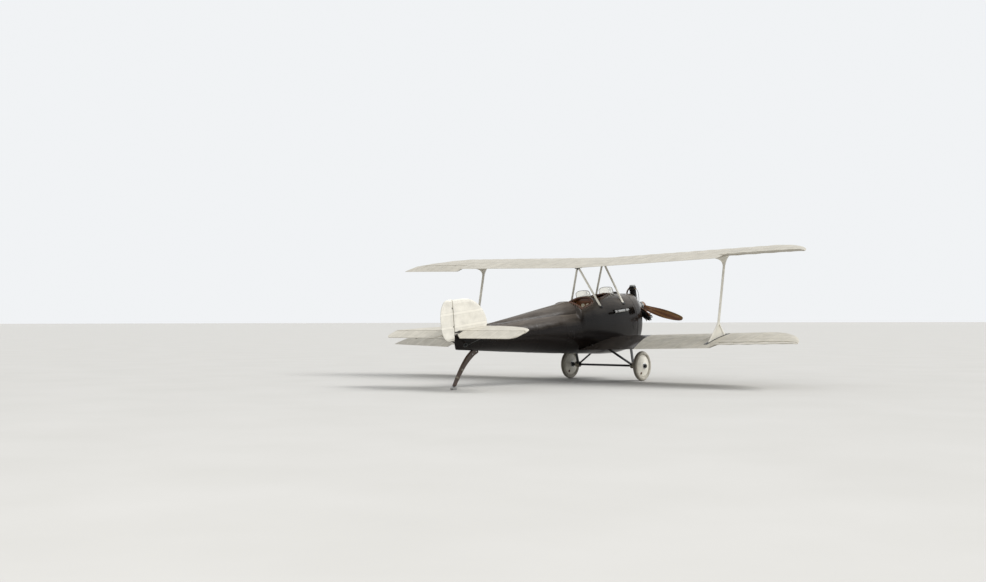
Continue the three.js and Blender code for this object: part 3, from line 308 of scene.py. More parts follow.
def doped_linen(name, colour, axis, pitch, spars=()):
    """Doped aircraft linen: woven flax shrunk tight over taped ribs, satin and a little grubby.

    Spars are distances aft, in metres, where a soft painted shade stands for the spar's shadow showing
    through the thin cloth.
    """
    material, tree, shader, place = new_material(name)
    level = add_node(tree, "ShaderNodeMapping", {"Vector": place, "Rotation": (NOSE_UP, 0, 0)})
    split = add_node(tree, "ShaderNodeSeparateXYZ", {0: level.outputs[0]})
    aft = split.outputs["Y"]
    across = add_node(tree, "ShaderNodeMath", {0: split.outputs[axis]}, operation="ABSOLUTE")
    # folding twice leaves the distance from the nearest rib
    fold = add_node(tree, "ShaderNodeMath", {0: across.outputs[0], 1: pitch}, operation="PINGPONG")
    rib = add_node(
        tree, "ShaderNodeMath", {0: fold.outputs[0], 1: pitch / 2}, operation="PINGPONG").outputs[0]
    half_tape = SIZES.tape_width / 2
    # grime gathers in patches a hand's width across, and rain and oil draw it out into streaks 40 mm wide
    patches, cloud = mottle(tree, place, 5.5, 0.38, 0.68, detail=7)
    stretch = add_node(tree, "ShaderNodeMapping", {"Vector": place, "Scale": (24, 1.1, 8)}).outputs[0]
    streaks, _ = mottle(tree, stretch, 1, 0.52, 0.74, 0.4, detail=4)
    layers = [(patches, 0.79), (streaks, 0.66)]
    # the doubled cloth of a tape is drawn a little lighter, each spar gets a soft painted shade for its
    # shadow through the cloth, and a thin darker line runs along both edges of each tape
    lines = [(aft, spar, 0.02, 0.038, 0.6, 0.74) for spar in spars]
    lines += [(rib, 0, half_tape, half_tape * 1.04, 0.5, 1.09), (rib, half_tape, 0.001, 0.004, 0.4, 0.5)]
    for value, middle, inner, outer, most, share in lines:
        offset = add_node(tree, "ShaderNodeMath", {0: value, 1: middle}, operation="SUBTRACT")
        away = add_node(tree, "ShaderNodeMath", {0: offset.outputs[0]}, operation="ABSOLUTE")
        line = add_node(tree, "ShaderNodeMapRange", {
            "Value": away.outputs[0], "From Min": inner, "From Max": outer, "To Min": most, "To Max": 0})
        layers.append((line.outputs[0], share))
    shade = colour[:3]
    for amount, share in layers:
        layer = add_node(tree, "ShaderNodeMix", {
            0: amount, 6: shade, 7: darker(colour, share)}, data_type="RGBA")
        shade = layer.outputs[2]
    # weave drawn at 4 mm, ten times coarser than real linen, so that it can show at all
    weave = [add_node(tree, "ShaderNodeTexWave", {
        "Vector": place, "Scale": 1 / (4 * MM) / 6.28, "Distortion": 0.4}, bands_direction=way).outputs["Fac"]
        for way in "XY"]
    cloth = add_node(tree, "ShaderNodeMath", {0: weave[0], 1: weave[1]}, operation="ADD")
    fine = add_node(tree, "ShaderNodeBump", {
        "Height": cloth.outputs[0], "Strength": 0.14, "Distance": 0.0006})
    # rib stitching: a knot every 75 mm down the middle of each tape
    knots = add_node(tree, "ShaderNodeMath", {0: aft, 1: 0.0375}, operation="PINGPONG")
    spots = [add_node(tree, "ShaderNodeMapRange", {
        "Value": value, "From Min": inner, "From Max": outer, "To Min": 1, "To Max": 0}).outputs[0]
        for value, inner, outer in ((knots.outputs[0], 0.003, 0.007), (rib, 0.004, 0.009))]
    lump = add_node(tree, "ShaderNodeMath", {0: spots[0], 1: spots[1]}, operation="MULTIPLY")
    stitched = add_node(tree, "ShaderNodeBump", {
        "Height": lump.outputs[0], "Strength": 0.7, "Distance": 0.0022, "Normal": fine.outputs[0]})
    gloss = add_node(tree, "ShaderNodeMapRange", {
        "Value": cloud, "From Min": 0.3, "From Max": 0.7, "To Min": 0.46, "To Max": 0.66})
    set_inputs(shader, {"Base Color": shade, "Roughness": gloss.outputs[0], "Normal": stitched.outputs[0],
                        "IOR": 1.48, "Sheen Weight": 0.06})
    return material


def varnished_ply(name, painted_top_light):
    """Birch plywood skin under black-brown spar varnish: wet gloss over faint long grain, and painted light
    that makes its upward faces lighter.
    """
    material, tree, shader, place = new_material(name)
    stretch = add_node(tree, "ShaderNodeMapping", {"Vector": place, "Scale": (26, 1.6, 26)}).outputs[0]
    grain, _ = mottle(tree, stretch, 1, 0.35, 0.7, detail=7)
    _, wear = mottle(tree, place, 4, 0.3, 0.7)
    tone = add_node(tree, "ShaderNodeMix", {
        0: grain, 6: darker(COLOURS.body, 0.7), 7: darker(COLOURS.body, 1.5)}, data_type="RGBA")
    # painted light: the lighter tone drawn where the skin faces upwards
    painted_lit_tone = add_node(tree, "ShaderNodeMix", {
        0: grain, 6: linear("#57504a"), 7: linear("#6c645b")}, data_type="RGBA")
    normal = add_node(tree, "ShaderNodeNewGeometry").outputs["Normal"]
    up = add_node(tree, "ShaderNodeSeparateXYZ", {0: normal}).outputs["Z"]
    # painted light: what faces upwards is drawn lighter, standing for light from above, and uneven wear noise
    # breaks up the border
    facing_up_with_wear = add_node(tree, "ShaderNodeMath", {0: wear, 1: 0.35, 2: up}, operation="MULTIPLY_ADD")
    # painted light mask: rises where the skin faces up
    top = add_node(tree, "ShaderNodeMapRange", {
        "Value": facing_up_with_wear.outputs[0], "From Min": 0.38, "From Max": 1.06, "To Min": 0, "To Max": painted_top_light})
    skin = add_node(tree, "ShaderNodeMix", {
        0: top.outputs[0], 6: tone.outputs[2], 7: painted_lit_tone.outputs[2]}, data_type="RGBA")
    gloss = add_node(tree, "ShaderNodeMapRange", {
        "Value": wear, "From Min": 0.3, "From Max": 0.7, "To Min": 0.15, "To Max": 0.28})
    # slow ripple of thin ply over its frames, about 160 mm from crest to crest
    _, ripple = mottle(tree, place, 6, 0, 1, detail=1)
    bump = add_node(tree, "ShaderNodeBump", {"Height": ripple, "Strength": 0.25, "Distance": 0.005})
    set_inputs(shader, {
        "Base Color": skin.outputs[2], "Roughness": gloss.outputs[0], "Normal": bump.outputs[0],
        "IOR": 1.5, "Specular IOR Level": 0.14})
    return material


def brushed_enamel():
    """Cream enamel brushed over metal and wood: soft gloss with brush marks, chips and oily grime."""
    material, tree, shader, place = new_material("brushed_enamel")
    grime, _ = mottle(tree, place, 9, 0.48, 0.76, 0.75, rough=0.7)
    tone = add_node(tree, "ShaderNodeMix", {
        0: grime, 6: COLOURS.enamel, 7: darker(COLOURS.enamel, 0.6)}, data_type="RGBA")
    _, marks = mottle(tree, place, 60, 0, 1, detail=3)
    bump = add_node(tree, "ShaderNodeBump", {"Height": marks, "Strength": 0.2, "Distance": 0.0008})
    set_inputs(shader, {
        "Base Color": tone.outputs[2], "Normal": bump.outputs[0], "Roughness": 0.38, "IOR": 1.5})
    return material


def grained_leather():
    """Oiled cowhide, stretched over padding: pebbled, 5 mm across, coarser than real, rubbed lighter."""
    material, tree, shader, place = new_material("oiled_leather")
    wear, _ = mottle(tree, place, 14, 0.35, 0.7, detail=4)
    tone = add_node(tree, "ShaderNodeMix", {
        0: wear, 6: darker(COLOURS.leather, 0.6), 7: darker(COLOURS.leather, 1.5)}, data_type="RGBA")
    cells = add_node(tree, "ShaderNodeTexVoronoi", {"Vector": place, "Scale": 1 / (5 * MM)})
    bump = add_node(tree, "ShaderNodeBump", {
        "Height": cells.outputs["Distance"], "Strength": -0.5, "Distance": 0.0012})
    set_inputs(shader, {
        "Base Color": tone.outputs[2], "Normal": bump.outputs[0], "Roughness": 0.48, "IOR": 1.48})
    return material


def figured_wood(name, colour, grain_width, coat, along):
    """Varnished timber: growth rings cut lengthwise, with a coat that gives the wet edge of varnish."""
    material, tree, shader, place = new_material(name)
    scale = 1 / (grain_width * MM)
    squash = [scale * 0.06 if axis == along else scale for axis in "XYZ"]
    stretch = add_node(tree, "ShaderNodeMapping", {"Vector": place, "Scale": squash}).outputs[0]
    rings, cloud = mottle(tree, stretch, 0.35, 0.35, 0.66, detail=5, bend=0.7)
    tone = add_node(tree, "ShaderNodeMix", {0: rings, 6: darker(colour, 0.55), 7: darker(colour, 1.35)},
                    data_type="RGBA")
    bump = add_node(tree, "ShaderNodeBump", {"Height": cloud, "Strength": 0.15, "Distance": 0.001})
    set_inputs(shader, {"Base Color": tone.outputs[2], "Normal": bump.outputs[0], "Roughness": 0.36,
                        "Coat Weight": coat, "Coat Roughness": 0.1})
    return material


def laminated_wood():
    """Propeller wood: glued boards 14 mm thick, walnut and birch by turns, under a deep varnish."""
    material, tree, shader, place = new_material("laminated_walnut_and_birch")
    level = add_node(tree, "ShaderNodeMapping", {"Vector": place, "Rotation": (NOSE_UP, 0, 0)}).outputs[0]
    depth = add_node(tree, "ShaderNodeSeparateXYZ", {0: level}).outputs["Y"]
    _, warp = mottle(tree, level, 4, 0, 1, detail=2)
    shift = add_node(tree, "ShaderNodeMath", {0: warp, 1: 0.004, 2: depth}, operation="MULTIPLY_ADD")
    board = add_node(tree, "ShaderNodeMath", {0: shift.outputs[0], 1: 14 * MM}, operation="PINGPONG")
    walnut = add_node(tree, "ShaderNodeMapRange", {
        "Value": board.outputs[0], "From Min": 0.0067, "From Max": 0.0073, "To Min": 1, "To Max": 0})
    mix = add_node(tree, "ShaderNodeMix", {
        0: walnut.outputs[0], 6: linear("#8f6539"), 7: COLOURS.wood}, data_type="RGBA")
    squash = add_node(tree, "ShaderNodeMapping", {"Vector": place, "Scale": (5, 140, 60)}).outputs[0]
    grain, _ = mottle(tree, squash, 1, 0.38, 0.66, 0.6, bend=0.4)
    dark = add_node(tree, "ShaderNodeMix", {0: grain, 6: mix.outputs[2], 7: darker(COLOURS.wood, 0.4)},
                    data_type="RGBA")
    set_inputs(shader, {
        "Base Color": dark.outputs[2], "Roughness": 0.38, "Coat Weight": 0.4, "Coat Roughness": 0.2})
    return material


def worked_metal(name, code, roughness, metallic=1, stain="#2a2320", stain_share=0.35):
    """A hard worked surface, bare or painted, with oil and heat stains and a fine grit in its gloss."""
    material, tree, shader, place = new_material(name)
    stained, blotch = mottle(tree, place, 22, 0.5, 0.75, stain_share, detail=5)
    tone = add_node(tree, "ShaderNodeMix", {0: stained, 6: linear(code), 7: linear(stain)}, data_type="RGBA")
    gloss = add_node(tree, "ShaderNodeMapRange", {
        "Value": blotch, "From Min": 0.3, "From Max": 0.7,
        "To Min": roughness * 0.8, "To Max": min(roughness * 1.3, 1)})
    _, grit = mottle(tree, place, 350, 0, 1, detail=2)
    bump = add_node(tree, "ShaderNodeBump", {"Height": grit, "Strength": 0.12, "Distance": 0.0005})
    set_inputs(shader, {
        "Base Color": tone.outputs[2], "Roughness": gloss.outputs[0], "Normal": bump.outputs[0],
        "Metallic": metallic})
    return material


def moulded_rubber():
    """Pale natural rubber, moulded in ribs and dusty: dry and matt, and darker over the tread."""
    material, tree, shader, place = new_material("moulded_rubber")
    centre = (0, PARKED.translation.y, PARKED.translation.z)
    out = add_node(tree, "ShaderNodeVectorMath", {0: place, 1: centre}, operation="SUBTRACT")
    flat = add_node(tree, "ShaderNodeVectorMath", {0: out.outputs[0], 1: (0, 1, 1)}, operation="MULTIPLY")
    reach = add_node(tree, "ShaderNodeVectorMath", {0: flat.outputs[0]}, operation="LENGTH").outputs["Value"]
    radius = TYRE_RADIUS * MM
    # the band within 20 mm of the tyre's outer edge is drawn darker
    tread_band = add_node(tree, "ShaderNodeMapRange", {
        "Value": reach, "From Min": radius - 0.02, "From Max": radius - 0.006, "To Min": 0, "To Max": 0.75})
    earth, _ = mottle(tree, place, 14, 0.45, 0.7, 0.7, detail=7, rough=0.7)
    earth_and_tread_band = add_node(tree, "ShaderNodeMath", {0: earth, 1: tread_band.outputs[0]}, operation="MAXIMUM")
    tone = add_node(tree, "ShaderNodeMix", {0: earth_and_tread_band.outputs[0], 6: COLOURS.rubber, 7: linear("#5b5347")},
                    data_type="RGBA")
    _, pores = mottle(tree, place, 160, 0, 1, detail=2)
    bump = add_node(tree, "ShaderNodeBump", {"Height": pores, "Strength": 0.25, "Distance": 0.001})
    set_inputs(shader, {
        "Base Color": tone.outputs[2], "Normal": bump.outputs[0], "Roughness": 0.82, "IOR": 1.52})
    return material


def webbing():
    """Woven cotton belt, drawn at a 3 mm thread: matt olive, its twill pale and dark by turns."""
    material, tree, shader, place = new_material("cotton_webbing")
    twill = add_node(tree, "ShaderNodeTexWave", {
        "Vector": place, "Scale": 1 / (3 * MM) / 6.28, "Distortion": 0.6}, bands_direction="DIAGONAL")
    tone = add_node(tree, "ShaderNodeMix", {
        0: twill.outputs["Fac"], 6: linear("#5d5540"), 7: linear("#8b8062")}, data_type="RGBA")
    bump = add_node(tree, "ShaderNodeBump", {
        "Height": twill.outputs["Fac"], "Strength": 0.5, "Distance": 0.001})
    set_inputs(shader, {"Base Color": tone.outputs[2], "Normal": bump.outputs[0], "Roughness": 0.85})
    return material


def celluloid():
    """Bent celluloid sheet: clear and thin, slightly yellow with age, with fine scratches."""
    material, tree, shader, place = new_material("bent_celluloid")
    _, haze = mottle(tree, place, 30, 0, 1, detail=5)
    gloss = add_node(tree, "ShaderNodeMapRange", {
        "Value": haze, "From Min": 0.3, "From Max": 0.7, "To Min": 0.03, "To Max": 0.12})
    set_inputs(shader, {"Base Color": linear("#f0ead2"), "Roughness": gloss.outputs[0], "IOR": 1.5,
                        "Transmission Weight": 0.92, "Alpha": 0.4})
    return material


def white_dial():
    """Printed card dial under glass: matt off-white."""
    material, tree, shader, place = new_material("printed_dial")
    yellowed, _ = mottle(tree, place, 40, 0.4, 0.6, detail=2)
    tone = add_node(tree, "ShaderNodeMix", {0: yellowed, 6: linear("#d9d2bf"), 7: linear("#c4baa0")},
                    data_type="RGBA")
    set_inputs(shader, {"Base Color": tone.outputs[2], "Roughness": 0.3})
    return material


def spars_at(edge):
    """Distances aft of a wing's two spars, in the scene's metres turned level."""
    centre = PARKED.translation
    offset = centre.y * math.cos(NOSE_UP) - centre.z * math.sin(NOSE_UP)
    return [offset + (edge[0] - CHORD * (1 - t)) * MM for t in (0.13, 0.64)]


FINISH = {}


def make_materials():
    wing, tail = SIZES.rib_pitch, SIZES.tail_rib_pitch
    FINISH.update({
        # each wing's spar places set where its painted spar shade lies
        "linen": doped_linen("doped_linen", COLOURS.linen, "X", wing, spars_at(UPPER_EDGE)),
        "low_linen": doped_linen("doped_linen_lower_wing", COLOURS.linen, "X", wing, spars_at(LOWER_EDGE)),
        # tail and fin linen carry painted light: lighter colours standing for fuller light on those surfaces
        "tail_linen_painted_light": doped_linen("doped_linen_tail", COLOURS.tail, "X", tail),
        "fin_linen_painted_light": doped_linen("doped_linen_fin", COLOURS.fin, "Z", tail),
        # the number after each name sets how much painted light brightens upward faces
        "body": varnished_ply("varnished_plywood", 0.8),
        "root": varnished_ply("varnished_plywood_wing_root", 0.25),
        "enamel": brushed_enamel(),
        "leather": grained_leather(),
        "webbing": webbing(),
        "rubber": moulded_rubber(),
        "celluloid": celluloid(),
        "dial": white_dial(),
        "laminated": laminated_wood(),
        "wood": figured_wood("varnished_walnut", COLOURS.wood, 9, 0.6, "X"),
        "floor_wood": figured_wood("varnished_spruce", linear("#a9804d"), 12, 0.2, "Y"),
        "inside": figured_wood("bare_birch_ply", linear("#9a7446"), 14, 0, "Y"),
        "ash": figured_wood("oiled_ash", linear("#8f6d45"), 8, 0.1, "Y"),
        "dark_ash": figured_wood("tarred_ash", linear("#3d2b1d"), 8, 0.2, "Z"),
        "aluminium": worked_metal("cast_aluminium", "#a9aaa8", 0.42),
        "spun": worked_metal("spun_aluminium", "#b9bab8", 0.26, stain_share=0.2),
        "pressed": worked_metal("pressed_aluminium", "#6f7172", 0.45),
        "iron": worked_metal("blackened_iron", "#2c2a29", 0.5, metallic=0.8),
        "steel": worked_metal("bright_steel", "#a8a8a6", 0.28, stain="#6b5a4a"),
        "dark_steel": worked_metal("painted_steel_tube", "#1f2122", 0.4, metallic=0.25, stain="#4c4037"),
        "painted": worked_metal("stove_enamelled_alloy", "#17130f", 0.3, metallic=0, stain="#332c26"),
        "brass": worked_metal("polished_brass", "#94774a", 0.36, stain="#4f3c20", stain_share=0.6),
        "copper": worked_metal("oxidised_copper", "#5c4334", 0.42, stain="#241a14", stain_share=0.7),
        "rubber_black": worked_metal("vulcanised_black_rubber", "#161514", 0.6, metallic=0, stain="#3a352e"),
        "cord": worked_metal("braided_cotton_cord", "#8d8677", 0.8, metallic=0),
    })


# Meshes

def spread(points):
    return np.asarray(points, float).reshape(-1, 3)


def finished(name, points, faces, finish, sharp):
    """A piece in the scene from points in the level frame, smoothed by angle."""
    mesh = bpy.data.meshes.new(name)
    mesh.from_pydata(spread(points).tolist(), [], [list(map(int, face)) for face in faces])
    mesh.validate()
    mesh.transform(PARKED)
    build = bmesh.new()
    build.from_mesh(mesh)
    bmesh.ops.remove_doubles(build, verts=build.verts, dist=0.00002)
    bmesh.ops.recalc_face_normals(build, faces=build.faces)
    build.to_mesh(mesh)
    build.free()
    mesh.shade_smooth()
    mesh.set_sharp_from_angle(angle=math.radians(sharp))
    piece = bpy.data.objects.new(name, mesh)
    bpy.context.scene.collection.objects.link(piece)
    mesh.materials.append(FINISH[finish])
    return piece


def fixed(piece, nodes=(), body="airframe"):
    """Fixes a piece to a body of the frame, in place of the solids it dresses."""
    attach(piece, body)
    if nodes:
        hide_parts(*nodes)
    return piece


class Parts:
    """Collects points and faces of one piece made of several closed forms."""

    def __init__(self):
        self.points = []
        self.faces = []

    def add(self, points, faces):
        base = len(self.points)
        self.points.extend(spread(points).tolist())
        self.faces.extend([[base + i for i in face] for face in faces])
        return self

    def loft(self, rings, caps=True):
        """A skin over equal rings of points."""
        rings = np.asarray(rings, float)
        rows, count = rings.shape[:2]
        faces = []
        for i in range(rows - 1):
            for j in range(count):
                a, b = i * count + j, i * count + (j + 1) % count
                faces.append([a, b, b + count, a + count])
        if caps:
            faces.append(list(range(count))[::-1])
            faces.append([(rows - 1) * count + j for j in range(count)])
        return self.add(rings.reshape(-1, 3), faces)

    def tube(self, path, radius, sides=12, closed=False, bore=0.0, depth=0):
        """A round bar along a path; radius is one number or one for each point. A bore opens its far end."""
        path = spread(path)
        count = len(path)
        radii = np.broadcast_to(np.asarray(radius, float), (count,))
        if closed:
            tangent = np.roll(path, -1, 0) - np.roll(path, 1, 0)
        else:
            tangent = np.gradient(path, axis=0)
        tangent /= np.linalg.norm(tangent, axis=1)[:, None]
        start = np.array([0, 0, 1.0]) if abs(tangent[0][2]) < 0.9 else np.array([1.0, 0, 0])
        rings = []
        normal = start - tangent[0] * start.dot(tangent[0])
        for centre, along, r in zip(path, tangent, radii):
            normal = normal - along * normal.dot(along)
            normal /= np.linalg.norm(normal)
            across = np.cross(along, normal)
            angles = np.linspace(0, 2 * np.pi, sides, endpoint=False)
            rings.append(centre + r * (np.cos(angles)[:, None] * normal + np.sin(angles)[:, None] * across))
        if closed:
            rings.append(rings[0])
        if bore:
            rings += [middle + (ring - middle) * bore / radii[-1]
                      for ring, middle in zip(rings[:-depth - 1:-1], path[:-depth - 1:-1])]
        return self.loft(rings, caps=not closed)

    def lathe(self, profile, centre, axis, sides=32):
        """A turned form: profile is (radius, distance along the axis) from one end to the other."""
        axis = np.asarray(axis, float) / np.linalg.norm(axis)
        side = np.cross(axis, (0, 0, 1.0) if abs(axis[2]) < 0.9 else (1.0, 0, 0))
        side /= np.linalg.norm(side)
        other = np.cross(axis, side)
        angles = np.linspace(0, 2 * np.pi, sides, endpoint=False)
        circle = np.cos(angles)[:, None] * side + np.sin(angles)[:, None] * other
        centre = np.asarray(centre, float)
        rings = [centre + axis * along + circle * max(radius, 0.01) for radius, along in profile]
        return self.loft(rings)

    def block(self, centre, size, turn=None, bevel=0.0):
        """A bevelled block."""
        build = bmesh.new()
        bmesh.ops.create_cube(build, size=1)
        bmesh.ops.scale(build, vec=Vector(size), verts=build.verts)
        if bevel:
            bmesh.ops.bevel(build, geom=build.edges[:], offset=bevel, segments=2, affect="EDGES")
        build.verts.ensure_lookup_table()
        points = np.array([v.co[:] for v in build.verts])
        faces = [[v.index for v in face.verts] for face in build.faces]
        build.free()
        if turn is not None:
            points = points @ np.array(turn.to_3x3()).T
        return self.add(points + np.asarray(centre, float), faces)

    def moved(self, move):
        """Passes every point through a function."""
        self.points = spread(move(spread(self.points))).tolist()
        return self

    def solid(self, name, finish, sharp=38):
        """A piece not yet fixed to a body, or a tool that cuts one."""
        return finished(name, self.points, self.faces, finish, sharp)

    def piece(self, name, finish, slot, nodes=(), body="airframe", sharp=38):
        """A piece fixed to a body of the frame."""
        return fixed(self.solid(name, finish, sharp), nodes, body)


def settle(piece):
    """Applies a piece's modifiers to its mesh."""
    bpy.context.view_layer.update()
    graph = bpy.context.evaluated_depsgraph_get()
    made = bpy.data.meshes.new_from_object(piece.evaluated_get(graph), depsgraph=graph)
    piece.modifiers.clear()
    old = piece.data
    piece.data = made
    made.name = piece.name
    bpy.data.meshes.remove(old)


def shaped(piece, *tools, sharp=38):
    """Takes the tools' space out of a piece and removes the tools."""
    for tool in tools:
        step = piece.modifiers.new("cut", "BOOLEAN")
        step.operation = "DIFFERENCE"
        step.solver = "EXACT"
        step.material_mode = "TRANSFER"
        step.object = tool
    settle(piece)
    piece.data.set_sharp_from_angle(angle=math.radians(sharp))
    for tool in tools:
        bpy.data.objects.remove(tool)
    return piece


def on_side(points, side):
    """The points as they are for side 1, and mirrored to starboard for side -1."""
    return spread(points) * (side, 1, 1)


# Shared forms

def camber_at(t):
    crest = 0.4
    k = np.where(t < crest, crest, 1 - crest)
    rise = np.where(t < crest, 2 * crest * t - t * t, 1 - 2 * crest + 2 * crest * t - t * t)
    return CAMBER / (k * k) * rise


def half_thickness_at(t):
    curve = 0.2969 * np.sqrt(t) - 0.126 * t - 0.3516 * t ** 2 + 0.2843 * t ** 3 - 0.1015 * t ** 4
    return 5 * THICKNESS * curve


def chord_at(x):
    left = 1 - np.minimum((SEMI_SPAN - np.abs(x)) / TIP_LENGTH, 1)
    return CHORD * (1 - left ** TIP_INNER_POWER) ** (1 / TIP_OUTER_POWER)


def rib_sag(x, t, pitch, depth):
    """How far the fabric lies below the ribs: nothing on the wooden nose or at the trailing edge."""
    phase = np.abs(x) / pitch
    bay = np.sin(np.pi * (phase - np.floor(phase))) ** 2
    window = np.clip((t - 0.1) / 0.12, 0, 1) * np.clip((1 - t) / 0.1, 0, 1)
    return depth * bay * window


def skin_point(edge, x, t, face):
    """Point on a wing: t is 0 at the nose and 1 at the tail, face is 1 above and -1 below."""
    x, t = np.broadcast_arrays(np.asarray(x, float), np.asarray(t, float))
    chord = chord_at(x)
    ahead = (1 - t) * chord
    height = (camber_at(t) + face * half_thickness_at(t)) * chord
    pitch, half = SIZES.rib_pitch / MM, SIZES.tape_width / MM / 2
    sag = rib_sag(x, t, pitch, SIZES.fabric_sag / MM) * chord / CHORD
    away = np.abs(np.abs(x) / pitch - np.round(np.abs(x) / pitch)) * pitch
    sag = sag - np.where(away <= half, TAPE_LIFT, 0)
    y = edge[0] - ahead * math.cos(INCIDENCE)
    z = edge[1] + math.tan(DIHEDRAL) * np.abs(x) + ahead * math.sin(INCIDENCE) + height - face * sag
    return np.stack([x, y, z], -1)


def smooth_table(rows, steps):
    """The rows of a table of sections, with smooth ones in between, each row led by its station."""
    rows = np.asarray(rows, float)
    station = rows[:, 0]
    slope = np.diff(rows, axis=0) / np.diff(station)[:, None]
    tangent = np.zeros_like(rows)
    tangent[1:-1] = np.where(slope[:-1] * slope[1:] > 0,
                             2 * slope[:-1] * slope[1:] / (slope[:-1] + slope[1:] + 1e-12), 0)
    tangent[0], tangent[-1] = slope[0], slope[-1]
    out = []
    for i in range(len(rows) - 1):
        span = station[i + 1] - station[i]
        for s in np.linspace(0, 1, steps, endpoint=False):
            h = [2 * s ** 3 - 3 * s ** 2 + 1, s ** 3 - 2 * s ** 2 + s,
                 -2 * s ** 3 + 3 * s ** 2, s ** 3 - s ** 2]
            row = h[0] * rows[i] + h[1] * span * tangent[i]
            row = row + h[2] * rows[i + 1] + h[3] * span * tangent[i + 1]
            row[0] = station[i] + span * s
            out.append(row)
    out.append(rows[-1])
    return np.array(out)


def oval(row, grow=0.0, points=96):
    y, bottom, top, half, power = row
    angle = np.linspace(0, 2 * np.pi, points, endpoint=False)
    c, s = np.cos(angle), np.sin(angle)
    x = (half + grow) * np.sign(c) * np.abs(c) ** (2 / power)
    z = (top + bottom) / 2 + ((top - bottom) / 2 + grow) * np.sign(s) * np.abs(s) ** (2 / power)
    return np.stack([x, np.full(points, y), z], -1)


BODY_TABLE = smooth_table(BODY_SECTIONS, 8)


def body_row(y):
    return np.array([np.interp(y, BODY_TABLE[:, 0], BODY_TABLE[:, k]) for k in range(5)])


def skin_height(x, y, side=1):
    _, bottom, top, half, power = body_row(y)
    reach = (1 - min(abs(x) / half, 1) ** power) ** (1 / power)
    return (top + bottom) / 2 + side * reach * (top - bottom) / 2


def skin_width(y, z):
    _, bottom, top, half, power = body_row(y)
    away = min(abs(z - (top + bottom) / 2) / ((top - bottom) / 2), 1)
    return half * (1 - away ** power) ** (1 / power)


def wing_point(edge, x, ahead, lift=0.0):
    return np.array([
        x, edge[0] - ahead * math.cos(INCIDENCE),
        edge[1] + math.tan(DIHEDRAL) * abs(x) + ahead * math.sin(INCIDENCE) + lift])


def turned(points, start, axis, angle):
    """Points turned about a line in the level frame."""
    start = np.asarray(start, float)
    matrix = np.array(Matrix.Rotation(angle, 3, Vector(axis)))
    return (spread(points) - start) @ matrix.T + start


def bolt(parts, at, axis, radius=7.0, height=7.0):
    """A hexagon bolt head on its washer."""
    washer = radius * 1.5
    profile = [(0.1, -2), (washer, -2), (washer, 1), (radius, 1), (radius, height), (0.1, height + 0.8)]
    return parts.lathe(profile, at, axis, 6)


def round_spots(count, radius, first=0.0):
    """Evenly spaced (cosine, sine) places on a circle, the first one a share of a step round."""
    angles = 2 * np.pi * (np.arange(count) + first) / count
    return radius * np.stack([np.cos(angles), np.sin(angles)], -1)


def bolt_ring(parts, at, axis, reach, count, radius, height, first=0.5):
    """Bolts evenly round a plate that faces along an axis."""
    aft = np.array([0, 1.0, 0])
    for c, s in round_spots(count, reach, first):
        bolt(parts, at + c * np.cross(axis, aft) + s * aft, axis, radius, height)


def rounded(corner, radius, steps, share=1.0):
    """Points round the middle one of three, over at most a share of the way to its neighbours."""
    before, at, after = corner
    ends = []
    for far in (before, after):
        length = np.linalg.norm(far - at)
        ends.append(at + (far - at) / length * min(radius, length * share))
    return [(1 - s) ** 2 * ends[0] + 2 * s * (1 - s) * at + s * s * ends[1] for s in np.linspace(0, 1, steps)]


def round_open(points, radius, steps=5):
    """A path whose inner corners are rounded, from the first point to the last."""
    points = [np.asarray(p, float) for p in points]
    out = points[:1]
    for corner in zip(points, points[1:], points[2:]):
        out += rounded(corner, radius, steps, 0.5)
    return np.array(out + points[-1:])


def round_corners(outline, radius, steps=6):
    """A closed outline with all its corners rounded."""
    points = [np.asarray(p, float) for p in outline]
    out = []
    for corner in zip(points[-1:] + points[:-1], points, points[1:] + points[:1]):
        out += rounded(corner, radius, steps)
    return out


def skin_patch(parts, middle, side, length, height, lift, steps):
    """An oval plate lying on the side of the body, domed over its edge."""
    rings = []
    for share, up in ((1.0, -3), (1.0, lift * 0.5), (0.94, lift), (0.5, lift), (0.05, lift)):
        spots = [(middle[0] + length / 2 * share * c, middle[1] + height / 2 * share * s)
                 for c, s in round_spots(steps, 1)]
        rings.append([(side * (skin_width(y, z) + up), y, z) for y, z in spots])
    return parts.loft(rings)


def hoop(parts, y, width, proud):
    """A band round the outside of the body."""
    far = y + width
    rings = [oval(body_row(at), grow) for at, grow in (
        (y, -3), (y, proud * 0.6), (y + 3, proud), (far - 3, proud), (far, proud * 0.6), (far, -3))]
    return parts.loft(rings + rings[:1], caps=False)


# Pieces

SIDES = {"left": 1, "right": -1}
FACE_STEPS = 34


def face_samples():
    """Chord positions, closer together near the nose."""
    return (1 - np.cos(np.linspace(0, 1, FACE_STEPS) * np.pi / 2)) ** 1.25


def wing_rings(edge, stations):
    """Closed section rings, over the top from tail to nose and back below.

    A station is one distance from the middle, or one for each chord position.
    """
    samples = face_samples()
    rings = []
    for x in stations:
        above, below = skin_point(edge, x, samples, 1), skin_point(edge, x, samples, -1)
        above[-1, 2] = max(above[-1, 2], below[-1, 2] + TAIL_EDGE)
        rings.append(np.concatenate([above[::-1], below[1:]]))
    return rings


def rib_stations(first, last):
    """Stations along the span from first to last: both edges of each tape and a few in each bay."""
    pitch, half = SIZES.rib_pitch / MM, SIZES.tape_width / MM / 2
    beside = half + 1.2
    out = [first, last]
    for k in range(int(first // pitch), int(last // pitch) + 2):
        rib = k * pitch
        out += [rib - beside, rib - half, rib, rib + half, rib + beside]
        out += list(np.linspace(rib + beside, rib + pitch - beside, 9)[1:-1])
    return np.array(sorted({round(x, 3) for x in out if first <= x <= last}))


